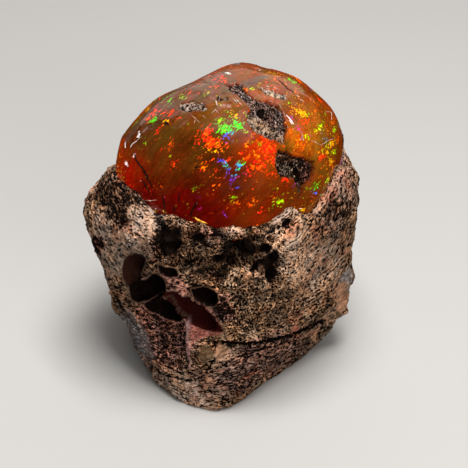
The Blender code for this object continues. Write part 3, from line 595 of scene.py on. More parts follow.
def smooth(values, low, high):
    """0 below low and 1 above high, easing in between."""
    share = np.clip((values - low) / (high - low), 0.0, 1.0)
    return share * share * (3 - 2 * share)


def unit(vectors):
    return vectors / np.linalg.norm(vectors, axis=1, keepdims=True)


def direction_of(azimuth, elevation):
    """Unit vector at an azimuth from +X towards +Y and an elevation above the horizon, in degrees."""
    a, e = math.radians(azimuth), math.radians(elevation)
    return np.array((math.cos(a) * math.cos(e), math.sin(a) * math.cos(e), math.sin(e)))


def noise_at(points, size, seed):
    """Smooth noise between -1 and 1 with lumps about size across."""
    places = (points / size + np.array((seed, 0.37 * seed, -seed))).tolist()
    return np.array([noise.noise(place) for place in places])


def cells_at(points, size, seed):
    """Distances to the nearest and second nearest of scattered points, in cells of a size."""
    places = (points / size + np.array((seed, -seed, 0.71 * seed))).tolist()
    return np.array([noise.voronoi(place)[0][:2] for place in places])


def points_of(mesh, field="co"):
    values = np.empty(len(mesh.vertices) * 3, np.float32)
    mesh.vertices.foreach_get(field, values)
    return values.reshape(-1, 3).astype(float)


def place_points(mesh, points):
    mesh.vertices.foreach_set("co", points.astype(np.float32).ravel())
    mesh.update()


def paint(mesh, name, colours, alpha=None):
    """Keeps a colour, and a share in its alpha, at every vertex."""
    rows = np.ones((len(mesh.vertices), 4), np.float32)
    rows[:, :3] = colours
    if alpha is not None:
        rows[:, 3] = alpha
    layer = mesh.color_attributes.new(name, "FLOAT_COLOR", "POINT")
    layer.data.foreach_set("color", rows.ravel())


def blend_to(colours, colour, share):
    return colours + (np.array(colour) - colours) * share[:, None]


def object_of(mesh, name):
    made = bpy.data.objects.new(name, mesh)
    bpy.context.scene.collection.objects.link(made)
    return made


def dress(piece, material, slot, *nodes):
    """Finishes a piece: its material, what it rides on, and the CAD nodes that it stands for."""
    piece.data.materials.clear()
    piece.data.materials.append(material)
    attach(piece, "root")
    if nodes:
        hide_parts(*nodes)
    triangles = sum(len(face.vertices) - 2 for face in piece.data.polygons)
    print(piece.name, triangles, "triangles")
    if triangles > 200000:
        raise RuntimeError(f"{piece.name} has {triangles} triangles")


def merged_copy(node):
    """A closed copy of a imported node's loose triangles."""
    made = bmesh.new()
    made.from_mesh(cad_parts[node].data)
    bmesh.ops.remove_doubles(made, verts=made.verts, dist=2e-6)
    mesh = bpy.data.meshes.new(node + "_copy")
    made.to_mesh(mesh)
    made.free()
    return mesh


def remeshed(mesh, name, voxel):
    """A mesh rebuilt as even quads of a size."""
    rough = object_of(mesh, name + "_rough")
    remesh = rough.modifiers.new("even", "REMESH")
    remesh.mode = "VOXEL"
    remesh.voxel_size = voxel
    bpy.context.view_layer.update()
    graph = bpy.context.evaluated_depsgraph_get()
    made = bpy.data.meshes.new_from_object(rough.evaluated_get(graph))
    made.name = name
    bpy.data.objects.remove(rough)
    bpy.data.meshes.remove(mesh)
    made.shade_smooth()
    return made


def blown_cube(grid):
    """A bmesh of a cube with grid quads to a side, blown up into an even ball of radius 1."""
    ball = bmesh.new()
    bmesh.ops.create_cube(ball, size=2.0)
    bmesh.ops.subdivide_edges(ball, edges=ball.edges, cuts=grid - 1, use_grid_fill=True)
    for vertex in ball.verts:
        vertex.co = Vector([math.tan(c * math.pi / 4) for c in vertex.co]).normalized()
    return ball


def opal_skin(directions):
    """Distance of the opal's skin from its centre in each direction, before any detail."""
    height = np.where(directions[:, 2] > 0, OPAL_RISE, OPAL_SEAT_DEPTH)
    halves = np.column_stack((np.full_like(height, OPAL_HALF_WIDTH), np.full_like(height, OPAL_HALF_DEPTH), height))
    radius = 1 / np.linalg.norm(directions / halves, axis=1)
    for swell in OPAL_SWELLS:
        radius += swell.height * MM * closeness(directions, swell)
    places = (directions * 3.1 + np.array((4.0, 1.0, 7.0))).tolist()
    return radius + OPAL_RIPPLE * np.array([noise.noise(place) for place in places])


def closeness(directions, mark):
    """1 where a mark is, falling off over its spread."""
    facing = np.clip(directions @ direction_of(mark.azimuth, mark.elevation), -1.0, 1.0)
    return np.exp(-((np.arccos(facing) / math.radians(mark.spread)) ** 2))


def skin_place(directions, mark, reach):
    """Where directions fall on a mark of the skin: along and across it, in its half lengths and half widths."""
    out = direction_of(mark.azimuth, mark.elevation)
    east = np.cross((0.0, 0.0, 1.0), out)
    east /= np.linalg.norm(east)
    along = np.array(Matrix.Rotation(math.radians(mark.roll), 3, Vector(out)) @ Vector(east))
    across = np.cross(out, along)
    facing = directions @ out
    scale = reach / np.maximum(facing, 0.05)
    u = directions @ along * scale / (mark.length * MM / 2)
    v = directions @ across * scale / (mark.width * MM / 2)
    return np.where(facing > 0.05, u, 99.0), np.where(facing > 0.05, v, 99.0)


def chart_places(points):
    """Where points appear on the display chart: across and up, in millimetres."""
    back = np.array((0.0, -math.cos(DISPLAY_ELEVATION), math.sin(DISPLAY_ELEVATION)))
    up = np.array((0.0, math.sin(DISPLAY_ELEVATION), math.cos(DISPLAY_ELEVATION)))
    away = points - (np.array(CHART_MIDDLE) + back * DISPLAY_DISTANCE)
    scale = DISPLAY_DISTANCE / MM / -(away @ back)
    return away[:, 0] * scale, (away @ up) * scale


def spot_share(chart, spot, ragged, edge=0.16):
    """1 inside a spot of the chart and 0 outside it."""
    dx, dy = chart[0] - spot.across, chart[1] - spot.up
    c, s = math.cos(math.radians(spot.roll)), math.sin(math.radians(spot.roll))
    out = np.hypot((dx * c + dy * s) / (spot.length / 2), (dy * c - dx * s) / (spot.width / 2))
    return 1 - smooth(out * (1 + ragged), 1 - edge, 1 + edge)


def line_distance(chart, line):
    """How far each place of the chart is from a line of points, in millimetres."""
    nearest = np.full(len(chart[0]), 99.0)
    for (ax, ay), (bx, by) in zip(line, line[1:]):
        length = (bx - ax) ** 2 + (by - ay) ** 2
        share = np.clip(((chart[0] - ax) * (bx - ax) + (chart[1] - ay) * (by - ay)) / length, 0, 1)
        nearest = np.minimum(nearest, np.hypot(chart[0] - ax - share * (bx - ax), chart[1] - ay - share * (by - ay)))
    return nearest


def inset_of(chart, outline):
    """How far inside an outline each place of the chart is, in millimetres, and negative outside it."""
    across, up = chart
    inside = np.zeros(len(across), bool)
    for (ax, ay), (bx, by) in zip(outline, outline[1:] + outline[:1]):
        passes = (ay > up) != (by > up)
        inside ^= passes & (across < (bx - ax) * (up - ay) / (by - ay + 1e-9) + ax)
    distance = line_distance(chart, outline + outline[:1])
    return np.where(inside, distance, -distance)


def body_colours(directions):
    """The opal's colour in each direction."""
    colours = np.tile(np.array(BODY_COLOURS["orange"]) * 0.8, (len(directions), 1))
    drift = noise_at(directions, 0.35, 3.0) * 0.12
    for zone in BODY_ZONES:
        share = np.clip(zone.share * closeness(directions, zone) * (1.25 + drift * 4), 0.0, 1.0)
        colours = blend_to(colours, BODY_COLOURS[zone.colour], share)
    return colours


def scattered_fires(count):
    """More patches of fire for the sides and the back, the same every time."""
    chance = np.random.default_rng(11)
    names = list(FIRE_COLOURS)
    made = []
    for _ in range(count):
        azimuth = chance.uniform(5, 172)
        elevation = math.degrees(math.asin(chance.uniform(0.0, 0.95)))
        length = chance.uniform(1.2, 3.6)
        colour = names[chance.choice(len(names), p=(0.17, 0.15, 0.17, 0.16, 0.16, 0.04, 0.03, 0.06, 0.06))]
        width = length * chance.uniform(0.3, 0.8)
        made.append(Fire(azimuth, elevation, length, width, chance.uniform(10, 60), colour, chance.uniform(0.35, 0.9)))
    return made


def fire_colours(directions):
    """The colour and the density of the flecks in each direction."""
    ragged = noise_at(directions, 0.075, 5.0) * 0.9 + noise_at(directions, 0.03, 8.0) * 0.5
    drift = noise_at(directions, 0.22, 9.0)
    chance = np.random.default_rng(3)
    strayed = unit(directions + chance.normal(0.0, 0.011, directions.shape))
    plain = smooth(-directions[:, 1], -0.2, 0.5) * smooth(-directions[:, 0], -0.5, 0.1)
    density = np.clip(0.22 + 0.30 * noise_at(directions, 0.3, 2.0) - 0.14 * plain, 0.0, 0.36)
    names = list(FIRE_COLOURS)
    order = np.full(len(directions), names.index("orange"))
    order[drift > 0.22] = names.index("lime")
    order[drift < -0.2] = names.index("red")
    strongest = np.full(len(directions), 0.08)
    for fire in list(FIRES) + scattered_fires(46):
        u, v = skin_place(strayed, fire, 17.5 * MM)
        out = np.hypot(u, v) * (1 + 0.45 * ragged)
        share = fire.density * np.maximum(1 - smooth(out, 0.3, 1.6), 0.55 * np.exp(-((out / 2.2) ** 2)))
        order[share > strongest] = names.index(fire.colour)
        strongest = np.maximum(strongest, share)
    # The colours follow one another in a ring, and some flecks take the next one round.
    turn = chance.choice((-1, 0, 1), len(order), p=(0.12, 0.78, 0.10))
    turn[order == names.index("red")] = np.minimum(turn[order == names.index("red")], 0)
    turn[order == names.index("green")] = np.maximum(turn[order == names.index("green")], 0)
    order = order + turn
    colours = np.array(list(FIRE_COLOURS.values()))[order % len(names)]
    return colours, np.maximum(density, strongest)


def opal_points(directions):
    """Where the skin of the opal is, where it lies before its dent and chips, and how much it is chipped."""
    radius = opal_skin(directions)
    ball = directions * radius[:, None]
    smooth_radius = radius.copy()
    radius = radius - OPAL_DENT.height * MM * closeness(directions, OPAL_DENT)
    for chip in OPAL_CHIPS:
        out = direction_of(chip.azimuth, chip.elevation)
        reach = opal_skin(out[None, :])[0] - chip.depth * MM
        wave = 0.05 * MM * noise_at(ball, 2.2 * MM, chip.azimuth)
        plane = np.where(directions @ out > 0.5, reach / np.maximum(directions @ out, 0.5), 1.0)
        radius = np.minimum(radius, plane + wave)
    radius += 0.09 * MM * noise_at(ball, 5.5 * MM, 1.0) + 0.03 * MM * noise_at(ball, 1.7 * MM, 2.0)
    chance = np.random.default_rng(5)
    chipped = np.zeros(len(radius))
    for _ in range(95):
        azimuth, elevation = chance.uniform(-180, 180), math.degrees(math.asin(chance.uniform(0.1, 0.98)))
        front = -140 < azimuth < -60 and elevation < 58
        size = chance.uniform(0.6, 2.4)
        spot = Fire(azimuth, elevation, size * chance.uniform(1, 1.8), size, chance.uniform(0, 180), "", 0)
        if front:
            continue
        u, v = skin_place(directions, spot, 17.5 * MM)
        out = np.hypot(u, v)
        dish = np.clip(1 - out**2, 0, 1) * size * 0.075 * MM
        radius -= dish
        chipped = np.maximum(chipped, dish / (0.1 * MM))
    return radius, smooth_radius, chipped


def display_side(directions):
    """1 on the display side of the opal."""
    back = np.array((0.0, -math.cos(DISPLAY_ELEVATION), math.sin(DISPLAY_ELEVATION)))
    return smooth(directions @ back, 0.05, 0.2)


def raggedness(directions):
    """How far outlines on the opal stray, in millimetres."""
    return 0.30 * noise_at(directions, 0.06, 21.0) + 0.22 * noise_at(directions, 0.025, 24.0)


def pocket_depths(directions, skin):
    """How far the opal's pockets and recesses lie below its skin."""
    chart = chart_places(np.array(OPAL_CENTRE) + directions * skin[:, None])
    ragged = raggedness(directions)
    shown = display_side(directions)
    depths = np.zeros(len(directions))
    for sunk, outline in CRUSTS.values():
        inset = inset_of(chart, outline) + ragged
        depths = np.maximum(depths, smooth(inset, -0.1, 0.25) * (sunk + 0.7) * MM)
    for deep, outline in RECESSES:
        inset = inset_of(chart, outline) + ragged * 0.6
        depths = np.maximum(depths, smooth(inset, -0.1, 0.5) * deep * MM)
    return depths * shown


class Value:
    """A shader socket that takes part in sums: each operator adds its Math node."""

    def __init__(self, maker, socket):
        self.maker = maker
        self.socket = socket

    def __add__(self, other):
        return self.maker.maths("ADD", self, other)

    def __radd__(self, other):
        return self.maker.maths("ADD", other, self)

    def __sub__(self, other):
        return self.maker.maths("SUBTRACT", self, other)

    def __rsub__(self, other):
        return self.maker.maths("SUBTRACT", other, self)

    def __mul__(self, other):
        return self.maker.maths("MULTIPLY", self, other)

    def __rmul__(self, other):
        return self.maker.maths("MULTIPLY", other, self)

    def __abs__(self):
        return self.maker.maths("ABSOLUTE", self)

    def __pow__(self, other):
        return self.maker.maths("POWER", self, other)


class Maker:
    """Builds one material out of nodes."""

    def __init__(self, name):
        self.material = bpy.data.materials.new(name)
        self.material.use_nodes = True
        self.tree = self.material.node_tree
        self.tree.nodes.clear()

    def node(self, kind, settings=None, sockets=None, out=0):
        """Adds a node: its settings first, then a value or a link for each socket. Gives one of its outputs."""
        made = self.tree.nodes.new(kind)
        for name, value in (settings or {}).items():
            if name == "stops":
                ramp = made.color_ramp
                while len(ramp.elements) < len(value):
                    ramp.elements.new(1.0)
                for element, (place, colour) in zip(ramp.elements, value):
                    element.position = place
                    element.color = (*colour, 1.0)
            else:
                setattr(made, name, value)
        for name, value in (sockets or {}).items():
            if isinstance(value, Value):
                self.tree.links.new(value.socket, made.inputs[name])
            else:
                made.inputs[name].default_value = value
        return Value(self, made.outputs[out]) if len(made.outputs) else made

    def maths(self, operation, *values):
        return self.node("ShaderNodeMath", {"operation": operation}, dict(enumerate(values)))

    def vector(self, operation, *values, out=0):
        return self.node("ShaderNodeVectorMath", {"operation": operation}, dict(enumerate(values)), out)

    def mix(self, share, first, second, blend="MIX"):
        settings = {"data_type": "RGBA", "blend_type": blend, "clamp_factor": True}
        return self.node("ShaderNodeMix", settings, {0: share, 6: first, 7: second}, 2)

    def ease(self, value, low, high):
        sockets = {"Value": value, "From Min": low, "From Max": high}
        return self.node("ShaderNodeMapRange", {"interpolation_type": "SMOOTHSTEP"}, sockets)

    def noise(self, vector, scale, detail=2.0, roughness=0.5, w=None, distortion=0.0, out=0):
        settings = {"noise_dimensions": "3D" if w is None else "4D"}
        sockets = {"Vector": vector, "Scale": scale, "Detail": detail, "Roughness": roughness, "Distortion": distortion}
        if w is not None:
            sockets["W"] = w
        return self.node("ShaderNodeTexNoise", settings, sockets, out)

    def cells(self, vector, scale):
        """Three chances for each cell of a pattern."""
        colour = self.node("ShaderNodeTexVoronoi", {}, {"Vector": vector, "Scale": scale}, "Color")
        parts = self.node("ShaderNodeSeparateColor", {}, {"Color": colour}).socket.node.outputs
        return [Value(self, part) for part in parts]

    def level(self, value):
        """A grey of a value."""
        return self.node("ShaderNodeCombineColor", {}, {0: value, 1: value, 2: value})

    def attribute(self, name, out="Color"):
        return self.node("ShaderNodeAttribute", {"attribute_name": name}, {}, out)


def grey(level):
    return (level, level, level, 1.0)


def opal_material(look):
    made = Maker("fire_opal_body")
    place = made.node("ShaderNodeTexCoord", out="Object")
    # The silk and the fire run in streaks that rise to the right across the display side.
    turned = made.node("ShaderNodeMapping", {}, {"Vector": place, "Rotation": tuple(STREAK_TURN)})
    sway = made.noise(turned, 300.0, 2.0, out="Color")
    sway = made.vector("MULTIPLY", made.vector("SUBTRACT", sway, (0.5, 0.5, 0.5)), (0.0008, 0.0008, 0.0008))
    turned = made.vector("ADD", turned, sway)
    body = made.attribute("opal_body")
    milk = made.attribute("opal_body", "Alpha")
    fire = made.attribute("opal_fire")
    density = made.attribute("opal_fire", "Alpha")

    # Each fleck is a fine cell, and neighbouring flecks share the lean of a larger one.
    streaks = made.vector("MULTIPLY", turned, (0.45, 1.0, 1.0))
    fine = made.cells(streaks, 1 / look.fleck)
    broad = made.cells(streaks, 0.5 / look.fleck)
    edge = made.noise(streaks, 1.1 / look.fleck, 2.0, 0.6)
    chance = fine[0] * 0.8 + broad[0] * 0.2
    bright = fine[2] ** 1.4 * (0.45 + 0.55 * broad[2])
    lit = made.ease(density**1.2 * 0.82 + edge * 0.6 - chance - 0.30, -0.04, 0.07) * (0.22 + 2.2 * bright)
    shown = made.maths("MINIMUM", lit * (0.25 + density * 1.1), 1.0)
    lean = fine[1] ** 3 * 0.022 + 0.498
    fire_hue = made.node("ShaderNodeHueSaturation", {}, {"Hue": lean, "Saturation": 1.0, "Value": 1.0, "Color": fire})
    fire_light = made.mix(1.0, fire_hue, made.level(shown), "MULTIPLY")

    silk = made.noise(made.vector("MULTIPLY", turned, (0.16, 1.0, 1.0)), 1500.0, 4.0, 0.65)
    cloud = made.noise(place, 230.0, 4.0, 0.55)
    shade = made.maths("MAXIMUM", silk * 1.5 + cloud * 1.3 - 0.42, 0.2)
    drift = made.noise(made.vector("MULTIPLY", turned, (0.3, 1.0, 1.0)), 520.0, 4.0, 0.6)
    tinge = made.mix(made.ease(drift, 0.40, 0.60), (1.12, 0.78, 0.7, 1.0), (0.90, 1.10, 0.9, 1.0))
    body_lit = made.mix(1.0, made.mix(1.0, body, tinge, "MULTIPLY"), made.level(shade), "MULTIPLY")
    base = made.mix(shown * 0.85, body_lit, made.mix(1.0, fire_hue, grey(0.06), "MULTIPLY"))
    # Painted light: a glow of the body and the bright fire flecks go to Emission Color, so they shine with no lamp on
    # them.
    glow = made.mix(1.0, body_lit, made.level((1.0 - shown * 0.9) * look.glow), "MULTIPLY")
    light = made.mix(1.0, glow, made.mix(1.0, fire_light, grey(look.fire), "MULTIPLY"), "ADD")

    ripple = made.noise(place, 420.0, 3.0, 0.55)
    scratch = made.noise(made.vector("MULTIPLY", turned, (0.15, 1.0, 1.0)), 3000.0, 3.0, 0.6)
    height = ripple * 0.7 + scratch * milk * 0.5
    bump = made.node("ShaderNodeBump", {}, {"Strength": 1.0, "Distance": 0.00008, "Height": height})
    surface = made.node(
        "ShaderNodeBsdfPrincipled",
        {"subsurface_method": "RANDOM_WALK"},
        {
            "Base Color": base,
            "Roughness": made.ease(milk + cloud * 0.3, 0.5, 1.3) * 0.2 + look.roughness,
            "IOR": look.ior,
            "Transmission Weight": look.clearness,
            "Subsurface Weight": 0.15,
            "Subsurface Radius": (1.0, 0.3, 0.08),
            "Subsurface Scale": 0.0012,
            "Coat Weight": 0.15,
            "Coat Roughness": 0.03,
            "Coat IOR": 1.45,
            "Emission Color": light,
            "Emission Strength": 1.0,
            "Normal": bump,
        },
    )
    depth = made.node(
        "ShaderNodeVolumeAbsorption", {}, {"Color": (*look.depth_colour, 1.0), "Density": look.depth_density}
    )
    made.node("ShaderNodeOutputMaterial", {}, {"Surface": surface, "Volume": depth})
    return made.material


def mark_material(kind):
    """The finish of one kind of fine mark: its colour strays a little along it."""
    dark, light, roughness = MARK_FINISHES[kind]
    made = Maker("opal_" + kind)
    place = made.node("ShaderNodeTexCoord", out="Object")
    colour = made.mix(made.ease(made.noise(place, 2600.0, 2.0), 0.35, 0.65), (*dark, 1.0), (*light, 1.0))
    surface = made.node("ShaderNodeBsdfPrincipled", {}, {"Base Color": colour, "Roughness": roughness})
    made.node("ShaderNodeOutputMaterial", {}, {"Surface": surface})
    return made.material


def stone_material(name, look, grain):
    """Rhyolite: pale grains and worms of stone with black pits between them, streaked along the flow bands; the black
    of the pits is partly painted shade.
    """
    made = Maker(name)
    place = made.node("ShaderNodeTexCoord", out="Object")
    tint = made.attribute("stone_tint")
    coarse = made.attribute("stone_tint", "Alpha")
    dark = made.node("ShaderNodeSeparateColor", {}, {"Color": made.attribute("stone_shade")}, "Red")
    sleek = Value(made, dark.socket.node.outputs["Green"])
    ridge_light = Value(made, dark.socket.node.outputs["Blue"])
    rough = 1.0 - sleek
    across = made.vector("SUBTRACT", place, tuple(BAND_CENTRE))
    parts = made.node("ShaderNodeSeparateXYZ", {}, {"Vector": across}).socket.node.outputs
    depth = 0.0 - (Value(made, parts[1]) ** 2 + BAND_BEND**2) ** 0.5
    across = made.node("ShaderNodeCombineXYZ", {}, {0: Value(made, parts[0]), 1: depth, 2: Value(made, parts[2])})
    across = made.node("ShaderNodeMapping", {}, {"Vector": across, "Rotation": tuple(BAND_TURN.to_euler())})
    across = made.vector("MULTIPLY", across, (1.0, 0.1, 1.0))
    band = made.vector("LENGTH", across, out="Value") + made.noise(place, 130.0, 2.0) * 0.003
    streaks = made.noise(place, 0.52 / grain, 3.0, 0.6, w=band * 3.4)
    grains = made.noise(place, 1.05 / grain, 2.0, 0.6, distortion=0.6)
    open_stone = (streaks * 0.68 + grains * 0.32 - 0.5) * 5.2 + 0.56
    worms = made.noise(place, 0.78 / grain, 2.0, 0.5, distortion=0.8)
    worm_stone = 0.95 - abs(worms - 0.5) * 6.8
    stone = made.node("ShaderNodeMix", {"data_type": "FLOAT"}, {0: coarse, 2: open_stone, 3: worm_stone})
    # Where the stone is darker, less of it stands out of the pits.
    grit = made.ease(stone - dark * 0.95, 0.07, 0.42)
    laminae = made.ease(made.noise(place, 90.0, 2.0, 0.5, w=band * 9.0), 0.40, 0.60)
    # Painted shade: the pits between grains go near black, and lower ground is darker than the ridges.
    lit = grit**1.5 * (0.62 + 0.38 * ridge_light) * (0.66 + 0.34 * laminae) * (1.0 + 0.25 * coarse)
    lit = lit * rough + sleek * (0.62 + grains * 0.45)
    speck = made.ease(made.noise(place, 2.6 / grain, 1.0), 0.56, 0.68) * lit * rough
    hue = made.ease(made.noise(place, 480.0, 3.0, 0.6), 0.36, 0.64)
    tinge = made.mix(hue, (1.14, 0.94, 0.80, 1.0), (0.86, 0.90, 0.96, 1.0))
    colour = made.mix(lit, (*look.dark, 1.0), made.mix(rough, tint, made.mix(1.0, tint, tinge, "MULTIPLY")))
    colour = made.mix(speck * 0.4, colour, (0.68, 0.55, 0.44, 1.0))
    rust = made.ease(made.noise(place, 300.0, 3.0), 0.54, 0.70) * rough
    colour = made.mix(rust * 0.6, colour, (0.80, 0.42, 0.30, 1.0), "MULTIPLY")
    height = grit * (1.0 - sleek * 0.9) + speck * 0.2
    bump = made.node("ShaderNodeBump", {}, {"Strength": 1.0, "Distance": look.relief, "Height": height})
    surface = made.node(
        "ShaderNodeBsdfPrincipled",
        {},
        {
            "Base Color": colour,
            "Roughness": 0.85 - sleek * 0.3 - 0.2 * speck,
            "Specular IOR Level": 0.06,
            "Normal": bump,
        },
    )
    made.node("ShaderNodeOutputMaterial", {}, {"Surface": surface})
    return made.material


def plain_material(name, colour, roughness):
    made = Maker(name)
    surface = made.node("ShaderNodeBsdfPrincipled", {}, {"Base Color": (*colour, 1.0), "Roughness": roughness})
    made.node("ShaderNodeOutputMaterial", {}, {"Surface": surface})
    return made.material


def band_distance(points):
    """How far out in the flow bands each point is."""
    away = points - np.array(BAND_CENTRE)
    away[:, 1] = -np.hypot(away[:, 1], BAND_BEND)
    away = away @ np.array(BAND_TURN).T * np.array((1.0, 0.1, 1.0))
    return np.linalg.norm(away, axis=1) + 0.5 * MM * noise_at(points, 6 * MM, 17.0)


def block_mesh(look):
    """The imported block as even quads, four times as many on the display side."""
    mesh = remeshed(merged_copy("rhyolite_matrix"), "rhyolite_block", look.voxel)
    fine = bmesh.new()
    fine.from_mesh(mesh)
    points = points_of(mesh)
    chart = chart_places(points)
    normals = points_of(mesh, "normal")
    back = np.array((0.0, -math.cos(DISPLAY_ELEVATION), math.sin(DISPLAY_ELEVATION)))
    away = np.linalg.norm(points - np.array(OPAL_CENTRE), axis=1)
    outside = away > opal_skin(unit(points - np.array(OPAL_CENTRE))) + 0.6 * MM
    shown = (normals @ back > 0.12) & outside & (points[:, 1] < ROCK_CENTRE.y - 1 * MM) & (points[:, 2] > 0.4 * MM)
    near = [face for face in fine.faces if all(shown[vertex.index] for vertex in face.verts)]
    edges = list({edge for face in near for edge in face.edges})
    bmesh.ops.subdivide_edges(fine, edges=edges, cuts=1, use_grid_fill=True)
    fine.to_mesh(mesh)
    fine.free()
    mesh.shade_smooth()
    return mesh


def raise_rim(points):
    """Lifts the block's edge beside the opal, keeping each point as far from the opal's skin as it was."""
    away = points - np.array(OPAL_CENTRE)
    reach = np.linalg.norm(away, axis=1)
    gap = reach - opal_skin(away / reach[:, None])
    azimuth = np.degrees(np.arctan2(away[:, 1], away[:, 0]))
    rise = np.interp(azimuth, [place for place, _ in RIM_RISES], [height for _, height in RIM_RISES])
    share = (1 - smooth(gap, 0.8 * MM, 4.0 * MM)) * smooth(away[:, 2], -6.0 * MM, -0.8 * MM)
    away[:, 2] += rise * share * MM
    towards = unit(away)
    kept = towards * (opal_skin(towards) + gap)[:, None]
    return np.array(OPAL_CENTRE) + away + (kept - away) * (share > 0)[:, None]


def block_relief(points, chart, front):
    """How far the block's skin moves along its normals, in metres, and how dark, coarse, ragged and ridged it is: its
    darkness holds painted shade in the pits and hollows, and its ridges are painted lighter than the low ground.
    """
    ragged = 0.30 * noise_at(points, 1.4 * MM, 4.0) + 0.2 * noise_at(points, 0.6 * MM, 6.0)
    recess = smooth(inset_of(chart, COARSE_GROUND) + 1.2 * ragged, -0.6, 0.8) * front
    red = smooth(inset_of(chart, RED_GROUND) + ragged, -0.4, 0.6) * front
    elsewhere = smooth(noise_at(points, 9 * MM, 15.0), 0.12, 0.35)
    centre = 0.7 * spot_share(chart, Spot(3.5, -9.0, 20.0, 20.0, 0), ragged, 0.35) * front
    coarse = np.maximum(np.maximum(recess, 0.8 * red), np.maximum(centre, elsewhere * np.maximum(1 - front, 0.35)))
    lift = 0.32 * MM * noise_at(points, 3.2 * MM, 1.0) + 0.2 * MM * noise_at(points, 1.5 * MM, 2.0)
    worms = 1 - np.minimum(np.abs(noise_at(points, 0.95 * MM, 3.0)) * 4.0, 1.0)
    lift += MM * (0.14 + 0.24 * coarse) * (worms - 0.4)

    holes = cells_at(points, 2.0 * MM, 5.0)
    scattered = smooth(noise_at(points, 4.2 * MM, 12.0), 0.0, 0.3)
    pit = (1 - smooth(holes[:, 0], 0.18, 0.46)) * np.maximum(scattered * 0.8, coarse)
    fine = cells_at(points, 1.05 * MM, 9.0)
    small = (1 - smooth(fine[:, 0], 0.15, 0.45)) * np.maximum(0.5 * scattered, coarse)
    lift -= MM * (0.4 + 0.6 * coarse) * pit + MM * 0.35 * small
    # Painted shade: the pits are painted dark as well as sunk.
    dark = np.maximum(pit * (0.45 + 0.4 * coarse), small * 0.5)
    dark = np.maximum(dark, np.maximum(0.56 * recess, 0.50 * red))
    # Painted shade in sunk, hollow patches of the coarse ground.
    patches = smooth(noise_at(points, 3.0 * MM, 41.0), 0.05, 0.35) * recess
    dark = np.maximum(dark, 0.75 * patches)
    lift -= 0.5 * MM * patches

    turns = band_distance(points) / (1.25 * MM)
    step = turns - np.floor(turns)
    step = np.where(step < 0.75, step / 0.75, (1 - step) / 0.25) - 0.5
    lift += 0.2 * MM * step * (1 - coarse) * smooth(noise_at(points, 5 * MM, 19.0), -0.4, 0.2)
    lift -= 0.45 * MM * recess
    # Painted shade by height: ground low between the worms is painted darker than the ridges.
    ridge_light = smooth(worms, 0.0, 0.75)
    return lift, dark, coarse, ragged, ridge_light


def block_stones(points, chart, front, dark, coarse, ragged):
    """The block's tint, darkness and smoothness."""
    tint = np.tile(STONE_COLOURS["tan"], (len(points), 1))
    drift = noise_at(points, 6 * MM, 30.0)
    tint = blend_to(tint, STONE_COLOURS["pale"], smooth(drift, 0.0, 0.5) * 0.7)
    tint = blend_to(tint, STONE_COLOURS["pink"], smooth(noise_at(points, 7.5 * MM, 33.0), 0.1, 0.5) * 0.6)
    tint = blend_to(tint, STONE_COLOURS["brown"], smooth(-drift, 0.1, 0.5) * 0.5)
    smoothness = np.zeros(len(points))
    dark = np.maximum(dark, 0.30 + 0.22 * noise_at(points, 2.4 * MM, 44.0))
    for spot, colour, darkness, sheen in STONES:
        share = spot_share(chart, spot, ragged, 0.3) * front
        tint = blend_to(tint, STONE_COLOURS[colour], share * 0.85)
        dark = np.maximum(dark, share * darkness)
        smoothness = np.maximum(smoothness, share * sheen)
        if colour in ("pale", "fawn"):
            dark = dark * (1 - 0.5 * share)
    for outline, colour, sheen in FACES:
        share = smooth(inset_of(chart, outline) + 0.3 * ragged, -0.1, 0.15) * front
        tint = blend_to(tint, STONE_COLOURS[colour], share)
        smoothness = np.maximum(smoothness * (1 - share), share * sheen)
        dark = dark * (1 - share) + 0.2 * share
    return tint * (1 + 0.9 * coarse)[:, None], dark, smoothness


